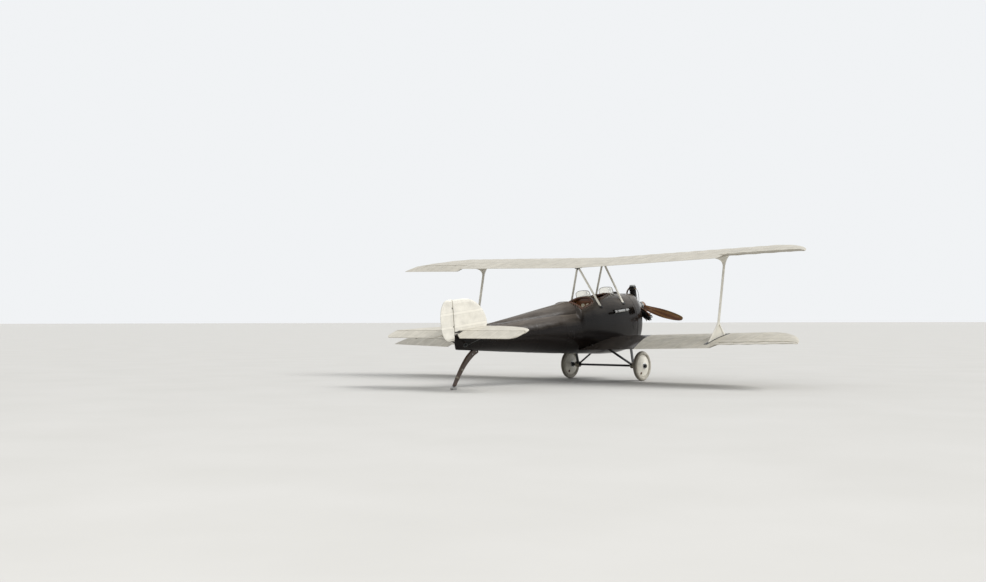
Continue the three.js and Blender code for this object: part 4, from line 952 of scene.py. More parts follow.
def tip_stations(first):
    inward = 240 * (1 - np.linspace(0, 1, 18)) ** 2
    return np.concatenate([rib_stations(first, SEMI_SPAN - 241), SEMI_SPAN - np.maximum(inward, 3)])


def joint_line(samples):
    """Where the dark root panel of the lower wing meets the fabric."""
    ahead = (1 - samples) * CHORD
    return STUB_AT_TAIL - (STUB_AT_TAIL - STUB_AT_NOSE) / CHORD * ahead


def aileron_bay(edge):
    y_cut = edge[0] - AILERON_CHORD - HINGE_GAP
    low = AILERON_INBOARD - END_GAP
    return Parts().block(
        ((low + SEMI_SPAN + 200) / 2, y_cut + 300, edge[1] + 100), (SEMI_SPAN + 200 - low, 600, 700))


def wing_panel(name, edge, side, stations, node, finish="linen", bay=False):
    form = Parts().loft([on_side(ring, side) for ring in wing_rings(edge, stations)])
    piece = form.solid(name, finish, sharp=40)
    if bay:
        tool = aileron_bay(edge).moved(lambda points: on_side(points, side))
        shaped(piece, tool.solid("bay", finish))
    fixed(piece, [node])


def aileron_line(edge):
    lift = camber_at(np.array(1 - AILERON_AXIS_AHEAD / CHORD)) * CHORD
    start = wing_point(edge, AILERON_INBOARD, AILERON_AXIS_AHEAD, lift)
    end = wing_point(edge, SEMI_SPAN, AILERON_AXIS_AHEAD, lift)
    return start, (end - start) / np.linalg.norm(end - start)


def aileron_rings(edge, side):
    """Section rings of an aileron with a round nose, turned to its parked angle."""
    rings = []
    start, axis = aileron_line(edge)
    for x in tip_stations(AILERON_INBOARD):
        chord = float(chord_at(x))
        nose = min(AILERON_CHORD, chord)
        radius = float(half_thickness_at(np.array(max(1 - nose / chord, 0.03)))) * chord
        first = 1 - (nose - radius) / chord
        t = first + (1 - first) * np.linspace(0, 1, 15)
        above, below = skin_point(edge, x, t, 1), skin_point(edge, x, t, -1)
        above[-1, 2] = max(above[-1, 2], below[-1, 2] + TAIL_EDGE)
        middle = (above[0] + below[0]) / 2
        rise = (above[0] - below[0]) / 2
        arc = [middle + rise * math.cos(a) + np.array([0, -radius * math.sin(a), 0])
               for a in np.linspace(0, math.pi, 9)[1:-1]]
        ring = np.concatenate([above[::-1], arc, below])
        rings.append(on_side(turned(ring, start, axis, -side * AILERON_REST), side))
    return rings


def make_wings():
    samples = face_samples()
    joint = joint_line(samples)
    half = rib_stations(0, CENTRE_PANEL - PANEL_GAP / 2)
    middle = np.concatenate([-half[:0:-1], half])
    wing_panel("upper_wing_middle", UPPER_EDGE, 1, middle, "upper_wing_centre")
    outer = tip_stations(CENTRE_PANEL + PANEL_GAP / 2)
    # the lower wing's first stations turn from its slanted joint to straight fore and aft
    straight = STUB_AT_TAIL + 20
    lower = [joint + PANEL_GAP / 2 + (straight - joint) * share for share in np.linspace(0, 1, 12)[:-1]]
    lower += list(tip_stations(straight))
    root = np.array([skin_width(y, z) - 9 for _, y, z in skin_point(LOWER_EDGE, 400.0, samples, 0)])
    stub = [root + (joint - PANEL_GAP / 2 - root) * share for share in np.linspace(0, 1, 22)]
    for name, side in SIDES.items():
        wing_panel(f"upper_wing_skin_{name}", UPPER_EDGE, side, outer, f"upper_wing_{name}", bay=True)
        wing_panel(f"lower_wing_skin_{name}", LOWER_EDGE, side, lower, f"lower_wing_{name}",
                   finish="low_linen", bay=True)
        wing_panel(f"lower_wing_root_{name}", LOWER_EDGE, side, stub, f"lower_wing_stub_{name}",
                   finish="root")


def make_wing_fittings():
    """Inspection rings and drain eyelets let into the fabric below each wing."""
    ring_form = [(0.1, -3), (52, -3), (52, 1.5), (48, 2.6), (42, 2.2), (40, 1), (0.1, 1)]
    eyelet_form = [(0.1, -2), (7, -2), (7, 0.6), (5, 1.2), (3, 0.4), (0.1, 0.2)]
    pitch = SIZES.rib_pitch / MM
    for level, edge, first in (("upper", UPPER_EDGE, CENTRE_PANEL), ("lower", LOWER_EDGE, STUB_AT_TAIL)):
        rings, eyelets = Parts(), Parts()
        for side in (1, -1):
            for x, ahead in ((2590, 430), (1680, 480), (first + 130, 900)):
                at = skin_point(edge, x, 1 - ahead / CHORD, -1) * (side, 1, 1)
                rings.lathe(ring_form, at, (side * math.tan(DIHEDRAL), -math.sin(INCIDENCE), -1), 40)
            for k in range(int(first // pitch) + 1, int(SEMI_SPAN // pitch) - 1):
                x = (k + 0.5) * pitch
                if x < AILERON_INBOARD - 60:
                    at = skin_point(edge, x, 0.972, -1) * (side, 1, 1)
                    eyelets.lathe(eyelet_form, at, (0, 0, -1), 16)
        rings.piece(f"{level}_wing_inspection_rings", "enamel", "doped_fabric", sharp=35)
        eyelets.piece(f"{level}_wing_drain_eyelets", "brass", "doped_fabric", sharp=35)


def make_ailerons():
    for level, edge, cloth in (("upper", UPPER_EDGE, "linen"), ("lower", LOWER_EDGE, "low_linen")):
        start, axis = aileron_line(edge)
        pins = [start + axis * (x - AILERON_INBOARD) / axis[0] for x in AILERON_HINGES]
        for name, side in SIDES.items():
            skin = Parts().loft(aileron_rings(edge, side))
            skin = skin.solid(f"{level}_aileron_skin_{name}", cloth, sharp=40)
            tools = []
            for pin in pins:
                slot = Parts().block(pin + (0, -4, 0), (30, 70, 120))
                slot.moved(lambda points: on_side(turned(points, start, axis, -side * AILERON_REST), side))
                tools.append(slot.solid("slot", "linen"))
            aileron = f"{level}_aileron_{name}"
            fixed(shaped(skin, *tools), [aileron], aileron)
            hinges = Parts()
            for pin in pins:
                hinges.block(pin + (0, -28, 0), (7, 62, 16), bevel=2)
                hinges.tube([pin - axis * 14.6, pin + axis * 14.6], 6, 16)
            hinges.moved(lambda points: on_side(points, side))
            hinges.piece(f"{level}_aileron_hinges_{name}", "dark_steel", "dark_steel")


def tail_edge(y):
    ahead = np.maximum(TAILPLANE_WIDEST - y, 0) / (TAILPLANE_WIDEST - TAILPLANE_FRONT)
    return TAIL_SEMI_SPAN * np.sqrt(1 - ahead ** 2)


def cushion_profile(rim, half_thick, rim_width=120.0):
    """Half thickness of a tail surface at a distance from its rim."""
    s = np.clip(rim / rim_width, 0, 1)
    return np.maximum(half_thick * np.sqrt(1 - (1 - s) ** 2), 3.0)


def tail_sag(place, share):
    """How far the tail's fabric lies below its ribs, at a place across them."""
    pitch = SIZES.tail_rib_pitch / MM
    return share * SIZES.fabric_sag / MM * np.sin(np.pi * ((place / pitch) % 1)) ** 2


def level_ring(x, y, half):
    """A ring of the tailplane or an elevator, over the top from tail to nose and back below."""
    above = np.stack([np.full_like(y, x), y, TAILPLANE_Z + half], -1)
    below = above * (1, 1, -1) + (0, 0, 2 * TAILPLANE_Z)
    return np.concatenate([above[::-1], below[1:]])


def upright_ring(z, y, half):
    """A ring of the fin or rudder, along the port side from tail to nose and back to starboard."""
    port = np.stack([half, y, np.full_like(y, z)], -1)
    return np.concatenate([port[::-1], (port * (-1, 1, 1))[1:]])


def make_tailplane():
    rear = ELEVATOR_HINGE - TAIL_GAP
    depth = TAILPLANE_WIDEST - TAILPLANE_FRONT
    fractions = (1 - np.cos(np.linspace(0, np.pi / 2, 26))) ** 0.9
    widest = tail_edge(rear)
    port = np.concatenate([
        np.linspace(0, widest - 70, 46), widest - 70 * (1 - np.linspace(0, 1, 9)[1:]) ** 2])
    rings = []
    for x in np.concatenate([-port[:0:-1], port]):
        reach = min(abs(x) / TAIL_SEMI_SPAN, 0.99999)
        front = min(TAILPLANE_WIDEST - depth * math.sqrt(1 - reach ** 2), rear - 3)
        y = front + (rear - front) * fractions
        away = np.minimum(y - front, (rear - y) * 2 + 60)
        half = cushion_profile(y - front, TAIL_THICKNESS / 2, min(150, rear - front))
        rings.append(level_ring(x, y, half - tail_sag(abs(x), 0.6) * np.clip(away / 200, 0, 1)))
    Parts().loft(rings).piece("tailplane_skin", "tail_linen_painted_light", "doped_fabric", ["stabiliser"], sharp=50)


def elevator_outline_aft(x):
    """Rear edge of an elevator at a distance from the middle."""
    aft = ELEVATOR_HINGE + ELEVATOR_CHORD
    inner = np.clip((x - ELEVATOR_INNER) / 160, 0, 1)
    tip = np.clip((x - (TAIL_SEMI_SPAN - 130)) / 130, 0, 1)
    corner = aft - 250 * (1 - np.sqrt(1 - np.minimum(tip, 0.9999) ** 2)) * 0.66
    return np.where(inner < 1, ELEVATOR_HINGE + 140 + (corner - ELEVATOR_HINGE - 140) * inner, corner)


def elevator_rings(side):
    corner = tail_edge(ELEVATOR_HINGE)
    inner = np.linspace(ELEVATOR_INNER, ELEVATOR_INNER + 160, 9)
    tip = TAIL_SEMI_SPAN - 130 * (1 - np.linspace(0, 1, 14)) ** 1.6
    rings = []
    for x in np.concatenate([inner, np.linspace(ELEVATOR_INNER + 170, TAIL_SEMI_SPAN - 140, 44), tip]):
        front = ELEVATOR_HINGE + 40 * np.clip((ELEVATOR_INNER + 40 - x) / 40, 0, 1)
        aft = elevator_outline_aft(x)
        if x > corner:
            front = min(ELEVATOR_HINGE + 115 * (x - corner) / 20, aft - 40)
        y = front + (aft - front) * np.linspace(0, 1, 18) ** 1.3
        half = (TAIL_THICKNESS / 2) * (1 - 0.82 * (y - ELEVATOR_HINGE) / ELEVATOR_CHORD)
        half = np.minimum(half, cushion_profile(y - front, TAIL_THICKNESS / 2, 16))
        end = np.clip((TAIL_SEMI_SPAN + 4 - x) / 26, 0.05, 1)
        end = end * np.clip((x - ELEVATOR_INNER + 4) / 20, 0.05, 1)
        half = np.maximum(half * math.sqrt(min(end, 1)), 2.2)
        half = half - tail_sag(x, 0.5) * np.clip((y - front - 25) / 60, 0, 1) * np.clip((aft - y) / 60, 0, 1)
        ring = turned(level_ring(x, y, half), (0, ELEVATOR_AXIS, TAILPLANE_Z), (1, 0, 0), -ELEVATOR_REST)
        rings.append(on_side(ring, side))
    return rings


def make_elevators():
    for name, side in SIDES.items():
        skin = Parts().loft(elevator_rings(side)).solid(f"elevator_skin_{name}", "tail_linen_painted_light", sharp=50)
        tools = [
            Parts().block((side * x, ELEVATOR_AXIS - 8, TAILPLANE_Z), (30, 60, 90)).solid("slot", "linen")
            for x in TAIL_HINGES]
        fixed(shaped(skin, *tools), [f"elevator_{name}"], "elevator")
    hinges = Parts()
    for x in [side * x for side in (1, -1) for x in TAIL_HINGES]:
        hinges.block((x, ELEVATOR_AXIS - 22, TAILPLANE_Z), (7, 52, 13), bevel=2)
        hinges.tube([(x - 14.6, ELEVATOR_AXIS, TAILPLANE_Z), (x + 14.6, ELEVATOR_AXIS, TAILPLANE_Z)], 6, 16)
    hinges.piece("elevator_hinges", "dark_steel", "dark_steel")
    tube = Parts().tube([(-150, ELEVATOR_AXIS, TAILPLANE_Z), (150, ELEVATOR_AXIS, TAILPLANE_Z)], 13, 24)
    tube.piece("elevator_joining_tube", "dark_steel", "dark_steel", ["elevator_tube"], "elevator")


def fin_front(z):
    """Leading edge of the fin at a height."""
    angle = np.arcsin(np.clip((z - FIN_FOOT) / (FIN_TOP - FIN_FOOT), 0, 1))
    return FIN_FRONT + 560 * (1 - np.cos(angle)) ** 0.9


def make_fin():
    rear = RUDDER_HINGE - TAIL_GAP
    round_top = FIN_TOP - 60 * (1 - np.linspace(0, 1, 14)[1:]) ** 2
    rings = []
    for z in np.concatenate([np.linspace(1100, FIN_TOP - 60, 40), round_top]):
        front = float(fin_front(z))
        y = front + (rear - front) * (1 - np.cos(np.linspace(0, np.pi / 2, 24))) ** 0.9
        half = cushion_profile(y - front, FIN_THICKNESS / 2, 130)
        half = half * math.sqrt(max(min((FIN_TOP + 8 - z) / 70, 1), 0.06))
        sag = tail_sag(z - TAIL_RIB_START, 0.6) * np.clip((y - front - 60) / 150, 0, 1)
        rings.append(upright_ring(z, y, np.maximum(half - sag, 2.5)))
    Parts().loft(rings).piece("fin_skin", "fin_linen_painted_light", "doped_fabric", ["fin"], sharp=50)


def make_rudder():
    shape = smooth_table([
        # height, reach aft
        (RUDDER_BOTTOM, 108), (RUDDER_BOTTOM + 18, 172), (RUDDER_BOTTOM + 90, 240),
        (RUDDER_BOTTOM + 210, 275), (RUDDER_TOP - 300, 282), (RUDDER_TOP - 165, 259),
        (RUDDER_TOP - 60, 203), (RUDDER_TOP - 4, 113), (RUDDER_TOP, 20)], 7)
    rings = []
    for z, reach in shape:
        y = RUDDER_HINGE + reach * np.linspace(0, 1, 18) ** 1.2
        half = (FIN_THICKNESS / 2) * (1 - 0.8 * (y - RUDDER_HINGE) / RUDDER_CHORD)
        half = np.minimum(half, cushion_profile(y - RUDDER_HINGE, FIN_THICKNESS / 2, 15))
        end = max(min((RUDDER_TOP + 4 - z) / 40, (z - RUDDER_BOTTOM + 4) / 40, 1), 0.05)
        sag = tail_sag(z - TAIL_RIB_START, 0.5) * np.clip((y - RUDDER_HINGE) / 80, 0, 1)
        sag = sag * np.clip((RUDDER_HINGE + reach - y) / 70, 0, 1)
        rings.append(upright_ring(z, y, np.maximum(half * math.sqrt(end) - sag, 2.2)))
    skin = Parts().loft(rings).solid("rudder_skin", "fin_linen_painted_light", sharp=50)
    tools = [
        Parts().block((0, RUDDER_HINGE - 4, z), (90, 60, 28)).solid("slot", "linen") for z in RUDDER_HINGES]
    fixed(shaped(skin, *tools), ["rudder"], "rudder")
    hinges = Parts()
    for z in RUDDER_HINGES:
        hinges.block((0, RUDDER_HINGE - 14, z), (12, 54, 7), bevel=2)
        hinges.tube([(0, RUDDER_HINGE + 10, z - 13.6), (0, RUDDER_HINGE + 10, z + 13.6)], 6, 16)
    hinges.piece("rudder_hinges", "dark_steel", "dark_steel")


# Body

def fairing_ring(row, points=49):
    y, top, half = row
    angle = np.linspace(0, np.pi, points)
    x = half * np.cos(angle) * (1 - 0.18 * np.sin(angle))
    z = FAIRING_FOOT + (top - FAIRING_FOOT) * np.sin(angle) ** 0.8
    return np.stack([x, np.full(points, y), z], -1)


def opening_half_width(cockpit, y):
    """Half width of a cockpit opening: one line that widens aft, rounded at both ends of the opening."""
    share = np.maximum(COCKPIT_WIDEST - y, 0) / COCKPIT_LINE_LENGTH
    line = COCKPIT_HALF_WIDTH * (1 - share ** COCKPIT_LINE_POWER)
    ahead = np.maximum(cockpit["front"] + cockpit["front_round"] - y, 0) / cockpit["front_round"]
    behind = np.maximum(y - cockpit["rear"] + cockpit["rear_round"], 0) / cockpit["rear_round"]
    return line * np.sqrt(np.maximum(1 - ahead ** 2, 0)) * np.sqrt(np.maximum(1 - behind ** 2, 0))


def opening_outline(cockpit, count=56):
    """Outline of a cockpit opening in plan, evenly spaced round its edge."""
    middle, half = (cockpit["front"] + cockpit["rear"]) / 2, (cockpit["rear"] - cockpit["front"]) / 2
    y = middle - half * np.cos(np.linspace(0, np.pi, 400))
    x = opening_half_width(cockpit, y)
    x = np.concatenate([x, -x[-2:0:-1]])
    y = np.concatenate([y, y[-2:0:-1]])
    step = np.hypot(np.diff(x, append=x[0]), np.diff(y, append=y[0]))
    run = np.concatenate([[0], np.cumsum(step)])
    at = np.linspace(0, run[-1], 2 * count, endpoint=False)
    return np.interp(at, run, np.append(x, x[0])), np.interp(at, run, np.append(y, y[0]))


def make_body():
    skin = Parts().loft([oval(row) for row in BODY_TABLE]).solid("body_skin", "body", sharp=45)
    inside = [body_row(-585), *(row for row in BODY_TABLE if -580 < row[0] < 1080)]
    inside += [body_row(y) for y in (1080, 1200, 1260)]
    tools = [Parts().loft([oval(row, -WALL) for row in inside]).solid("cabin", "inside")]
    for cockpit in COCKPITS.values():
        x, y = opening_outline(cockpit)
        opening = Parts().loft([np.stack([x, y, np.full_like(x, z)], -1) for z in (900, 1700)])
        tools.append(opening.solid("opening", "inside"))
    fixed(shaped(skin, *tools), ["body_shell"])
    fairing = Parts().loft([fairing_ring(row) for row in smooth_table(FAIRING_SECTIONS, 8)])
    fairing.piece("fairing_skin", "body", "dark_skin", ["headrest_fairing"], sharp=45)


def louvre(side, front):
    """One slot pressed out of the cowl, low in front, and open behind."""
    back = front + 22
    rings = []
    for z, swell in zip(np.linspace(880, 1050, 21), np.sin(np.linspace(0, np.pi, 21)) ** 0.6):
        low, high = skin_width(front, z), skin_width(back, z)
        rim = [(low + 0.2 + grow * swell, front + ahead)
               for ahead, grow in ((0, 0.3), (6, 2.6), (13, 6.2), (21, 9.5))]
        rim += [(high + 8.5 * swell, back - 1), (high - 2.5, back - 3), (low - 2.5, front + 2)]
        rings.append([(side * x, y, z) for x, y in rim])
    return rings


def make_body_trim():
    bands, metal, studs, louvres = Parts(), Parts(), Parts(), Parts()
    for y in (-618, 1560, 2260, 2960, 3560):
        hoop(bands, y, 34, 1.3)
    rim = oval(body_row(-604), 1.2)
    count = 22
    for k in range(count):
        at = rim[round(len(rim) * (k + 0.5) / count) % len(rim)]
        out = np.array([at[0] / 400, 0, (at[2] - 735) / 520])
        studs.lathe([(0.1, 0), (9, 0), (9, 1.5), (7, 4), (0.1, 5)], at, out, 16)
        studs.block(at + out / np.linalg.norm(out) * 5, (2.5, 12, 2.5))
    cap = [(0.1, -6), (62, -6), (62, 2), (58, 5), (46, 5), (46, 20), (42, 24), (20, 26), (0.1, 27)]
    top = np.array([0, FILLER_Y, skin_height(0, FILLER_Y)])
    metal.lathe(cap, top, (0, 0, 1), 48)
    metal.block(top + (0, 0, 29), (70, 12, 12), bevel=3)
    bolt_ring(studs, top + (0, 0, 5), (0, 0, 1), 54, 8, 3.5, 3, first=0)
    for side in (1, -1):
        for y, z, length, height in ((3330, 905, 210, 130), (1480, 700, 190, 240), (-480, 700, 170, 210)):
            skin_patch(bands, (y, z), side, length, height, 2.2, 40)
            for c, s in round_spots(10, 0.44):
                spot = (y + length * c, z + height * s)
                at = (side * (skin_width(*spot) + 2), *spot)
                studs.lathe([(0.1, 0), (5, 0), (4, 1.8), (0.1, 2.2)], at, (side, 0, 0.05), 12)
        for k in range(7):
            louvres.loft(louvre(side, -548 + 34 * k))
        step = [(side * (skin_width(STEP_Y, z) + out), STEP_Y + along, z) for along, z, out in (
            (-70, 500, -6), (-70, 492, 40), (-66, 462, 62), (66, 462, 62), (70, 492, 40), (70, 500, -6))]
        metal.tube(round_open(step, 22), 9, 14)
    louvres.piece("cowl_louvres", "body", "dark_skin", sharp=40)
    bands.piece("ply_bands_and_covers", "body", "dark_skin", sharp=50)
    metal.piece("body_metalwork", "painted", "dark_steel", sharp=30)
    studs.piece("body_studs", "dark_steel", "bare_steel", sharp=30)


def at_cylinder(points, angle):
    """Points of an upright cylinder over the crankshaft, turned to another cylinder's place."""
    turn = np.array(Matrix.Rotation(math.radians(angle), 3, "Y"))
    return spread(points) @ turn.T + np.array([0, CYLINDER_PLANE, CRANK_Z], float)


def make_cowl():
    cowl = Parts().loft([oval(row) for row in smooth_table(NOSE_SECTIONS, 6)])
    cowl = cowl.solid("nose_cowl_skin", "body", sharp=40)
    tools = [Parts().tube([(0, -1500, CRANK_Z), (0, -940, CRANK_Z)], 127, 64).solid("drum", "body")]
    for angle in CYLINDER_ANGLES.values():
        well = Parts().tube(at_cylinder([(0, 0, 30), (0, 0, CYLINDER_TIP + 60)], angle), 88, 48)
        tools.append(well.solid("well", "body"))
    fixed(shaped(cowl, *tools), ["nose_cowl"])


# Engine

def make_crankcase():
    profile = [(1, 990), (126, 992), (126, 1170), (122, 1180), (112, 1196), (96, 1215), (74, 1236),
               (58, 1262), (54, 1268), (1, 1268)]
    case = Parts().lathe(profile, (0, 0, CRANK_Z), (0, -1, 0), 64)
    for z, x in round_spots(9, 116, 0.5):
        case.tube([(x, -1176, CRANK_Z + z), (x, -1192, CRANK_Z + z)], 6, 6)
    case.piece("crankcase_casting", "aluminium", "engine_metal", ["crankcase"])


def finned_barrel():
    base, head, count = CYLINDER_BASE, CYLINDER_HEAD, SIZES.fin_count
    pitch = (head - base - 24) / count
    profile = [(1, base - 4), (70, base - 4), (70, base + 8), (54, base + 10)]
    for k in range(count):
        z = base + 22 + k * pitch
        reach = 62 + 5 * k / count
        profile += [(51, z), (reach, z + 0.8), (reach, z + 2.6), (51, z + 3.4)]
    profile += [(58, head), (60, head + 6), (60, head + 30), (50, head + 52), (1, head + 56)]
    barrel = Parts().lathe(profile, (0, 0, 0), (0, 0, 1), 48)
    for k in range(-3, 4):
        barrel.block((k * 15, 0, head + 42), (3, 104 - 4 * abs(k), 52), bevel=1)
    return barrel


def valve_gear():
    """Rocker boxes with their nuts, push rods in their sockets, and the nuts round the base."""
    gear = Parts()
    for side in (-1, 1):
        gear.block((side * 30, 2, CYLINDER_TIP - 22), (24, 84, 40), bevel=7)
        gear.tube([(side * 34, -84, CYLINDER_BASE - 6), (side * 30, -40, CYLINDER_TIP - 34)], 7.5, 16)
        socket = [(1, 0), (11, 0), (11, 14), (8, 18), (1, 18)]
        gear.lathe(socket, (side * 34, -84, CYLINDER_BASE - 8), (0, 0.14, 1), 20)
        for y in (-26, 30):
            gear.lathe([(1, 0), (6, 0), (6, 4), (1, 5)], (side * 30, y, CYLINDER_TIP - 4), (0, 0, 1), 6)
    for x, y in round_spots(8, 63, 0.5):
        gear.lathe([(1, 0), (7, 0), (7, 7), (1, 8)], (x, y, CYLINDER_BASE + 6), (0, 0, 1), 6)
    return gear


def spark_plugs():
    plugs = Parts()
    profile = [(1, 0), (11, 0), (11, 8), (6, 9), (6, 26), (4, 30), (4, 36), (1, 37)]
    for side in (-1, 1):
        plugs.lathe(profile, (side * 58, -10 * side, CYLINDER_HEAD + 14), (side, 0, 0.35), 12)
    return plugs


def make_cylinders():
    for name, angle in CYLINDER_ANGLES.items():
        for part, finish, label, nodes in (
                (finned_barrel(), "iron", "barrel", [f"cylinder_{name}"]),
                (valve_gear(), "aluminium", "fittings", []),
                (spark_plugs(), "brass", "plugs", [])):
            part.moved(lambda points: at_cylinder(points, angle))
            part.piece(f"cylinder_{label}_{name}", finish, "engine_metal", nodes, sharp=30)


def make_pipes():
    pipes, leads = Parts(), Parts()
    head = CYLINDER_HEAD
    intake = round_open([(44, 60, 40), (92, 66, 120), (92, 66, head - 30), (60, 40, head + 30),
                         (34, 20, head + 46)], 40, 8)
    for angle in CYLINDER_ANGLES.values():
        pipes.tube(at_cylinder(intake, angle), 15, 20)
        for side in (-1, 1):
            wire = round_open([(side * 60, -78, 86), (side * 84, -70, 150), (side * 90, -40, head - 40),
                               (side * 84, -10 * side, head + 22), (side * 70, -10 * side, head + 19)], 36, 7)
            leads.tube(at_cylinder(wire, angle), 4.2, 10)
    ring = [(x, -1163, CRANK_Z + z) for z, x in round_spots(72, 104)]
    leads.tube(ring, 7, 12, closed=True)
    sump = [(0.1, -34), (48, -34), (54, -26), (54, 6), (46, 20), (26, 26), (24, 60), (0.1, 60)]
    pipes.lathe(sump, (0, -1090, CRANK_Z - 150), (0, 0, -1), 40)
    pipes.piece("intake_pipes", "copper", "engine_metal", sharp=35)
    leads.piece("ignition_conduit", "rubber_black", "dark_steel", sharp=60)


def make_hub():
    profile = [(1, 1268.5), (40, 1268.5), (40, 1288), (90, 1290), (92, 1292), (92, 1298.6), (34, 1299),
               (34, 1371.4), (86, 1371.4), (88, 1373), (88, 1378), (86, 1379.5), (42, 1380), (40, 1388),
               (30, 1391), (24, 1392), (1, 1392)]
    hub = Parts().lathe(profile, (0, 0, CRANK_Z), (0, -1, 0), 64)
    nut = [(1, 0), (9, 0), (9, 8), (5, 8.4), (5, 13), (1, 13.6)]
    for z, x in round_spots(8, 66):
        hub.lathe(nut, (x, -1379, CRANK_Z + z), (0, -1, 0), 6)
    hub.piece("hub_plates", "spun", "bare_steel", ["propeller_hub"], "propeller", sharp=30)


def make_engine():
    make_crankcase()
    make_cylinders()
    make_pipes()
    make_hub()


def blade_section(chord, thickness, twist, count=22):
    """A blade's section: flat-bottomed with a round nose, turned by its twist."""
    t = (1 - np.cos(np.linspace(0, np.pi, count))) / 2
    top = np.maximum(thickness * (1.9 * np.sqrt(t) * (1 - t) + 0.35 * t * (1 - t)), 1.2)
    across = (0.42 - t) * chord
    x = np.concatenate([across, across[::-1]])
    y = np.concatenate([-top * 0.72 + thickness * 0.2, np.full(count, 0.26) * thickness])
    c, s = math.cos(math.radians(twist)), math.sin(math.radians(twist))
    return np.stack([x * c + y * s, -x * s + y * c], -1)


def sheath_strip(flat, width):
    """A strip folded over a section's leading edge, and the way out of the wood at each of its points."""
    half = len(flat) // 2
    faces = []
    for face in (flat[:half], flat[:half - 1:-1]):
        run = np.concatenate([[0], np.cumsum(np.hypot(*np.diff(face, axis=0).T))])
        place = np.linspace(0, min(width, run[-1] * 0.8), 7)
        faces.append(np.stack([np.interp(place, run, face[:, k]) for k in (0, 1)], -1))
    strip = np.concatenate([faces[0][::-1], faces[1]])
    run = np.gradient(strip, axis=0)
    out = np.stack([run[:, 1], -run[:, 0]], -1)
    out /= np.linalg.norm(out, axis=1)[:, None]
    out *= np.sign(((strip - flat.mean(0)) * out).sum())
    return strip, out


def make_propeller():
    table = smooth_table([
        # radius share, chord, thickness, twist
        (0.0, 118, 70, 0), (0.07, 112, 68, 8), (0.14, 106, 58, 26), (0.22, 118, 46, 35), (0.35, 142, 31, 30),
        (0.55, 158, 21, 22), (0.75, 142, 15, 17), (0.9, 108, 10, 14),
        (0.97, 72, 7, 13), (0.995, 30, 5, 12)], 7)
    centre = np.array([0, PROPELLER_PLANE, CRANK_Z], float)
    wood, sheath, rivets = Parts(), Parts(), Parts()
    for side in (1, -1):
        rings, shells = [], []
        for at, chord, thickness, twist in table:
            flat = blade_section(chord, thickness, twist)
            z = side * at * PROPELLER_RADIUS
            rings.append([(side * x, y, z) for x, y in flat])
            if at <= SHEATH_START:
                continue
            # it widens towards the tip
            strip, out = sheath_strip(flat, 17 + 15 * min((at - SHEATH_START) / 0.4, 1))
            loop = np.concatenate([strip + out * 1.1, (strip - out * 0.8)[::-1]])
            shells.append([(side * x, y, z) for x, y in loop])
            if len(shells) % 3 == 0 and at < 0.95:
                for k in (2, 11):
                    spot = strip[k] + out[k]
                    rivets.lathe([(0.1, -1), (3.6, -1), (3, 1), (0.1, 1.5)], (side * spot[0], spot[1], z),
                                 (side * out[k][0], out[k][1], 0), 10)
        wood.loft(rings)
        sheath.loft(shells)
    rotate = np.array(Matrix.Rotation(PROPELLER_PARKED, 3, "Y"))
    for part in (wood, sheath, rivets):
        part.moved(lambda points: points @ rotate.T + centre)
    blades = wood.solid("propeller_blades", "laminated", sharp=35)
    boss = [(1, -35.5), (82, -35.5), (86, -31), (86, 31), (82, 35.5), (1, 35.5)]
    boss = Parts().lathe(boss, centre, (0, 1, 0), 64).solid("boss", "laminated")
    step = blades.modifiers.new("join", "BOOLEAN")
    step.operation = "UNION"
    step.solver = "EXACT"
    step.object = boss
    shaped(blades)
    bpy.data.objects.remove(boss)
    fixed(blades, ["propeller"], "propeller")
    sheath.piece("propeller_edge_sheath", "brass", "bare_steel", body="propeller", sharp=35)
    rivets.piece("propeller_sheath_rivets", "copper", "bare_steel", body="propeller", sharp=35)


# Undercarriage

def make_wheels():
    profile = TYRE_RADIUS - TYRE_SECTION + TYRE_SECTION * np.cos(np.linspace(0, 2 * np.pi, 41)[:-1])
    width = TYRE_SECTION * np.sin(np.linspace(0, 2 * np.pi, 41)[:-1])
    for name, side in SIDES.items():
        rings = [[(side * TRACK_HALF + w, r * math.sin(a), r * math.cos(a)) for r, w in zip(profile, width)]
                 for a in np.linspace(0, 2 * np.pi, 121)]
        tyre = Parts().loft(rings, caps=False)
        tyre.piece(f"tyre_rubber_{name}", "rubber", "tyre", [f"tyre_{name}"], f"wheel_{name}", sharp=60)
        make_wheel(name, np.array([side * TRACK_HALF, 0, 0], float))
    end = TRACK_HALF + HUB_HALF_WIDTH + 24
    axle = Parts().tube([(-end, 0, 0), (end, 0, 0)], AXLE_RADIUS, 32)
    nut = [(1, end - 22), (34, end - 22), (36, end - 19), (36, end - 3), (33, end), (1, end)]
    collar = [(1, 0), (41, 0), (43, 3), (43, 12), (40, 15), (1, 15)]
    for side in (1, -1):
        axle.lathe(nut, (0, 0, 0), (side, 0, 0), 6)
        axle.lathe(collar, (side * (TRACK_HALF - HUB_HALF_WIDTH - 20), 0, 0), (side, 0, 0), 32)
    axle.piece("cross_axle", "dark_steel", "dark_steel", ["axle"], sharp=35)


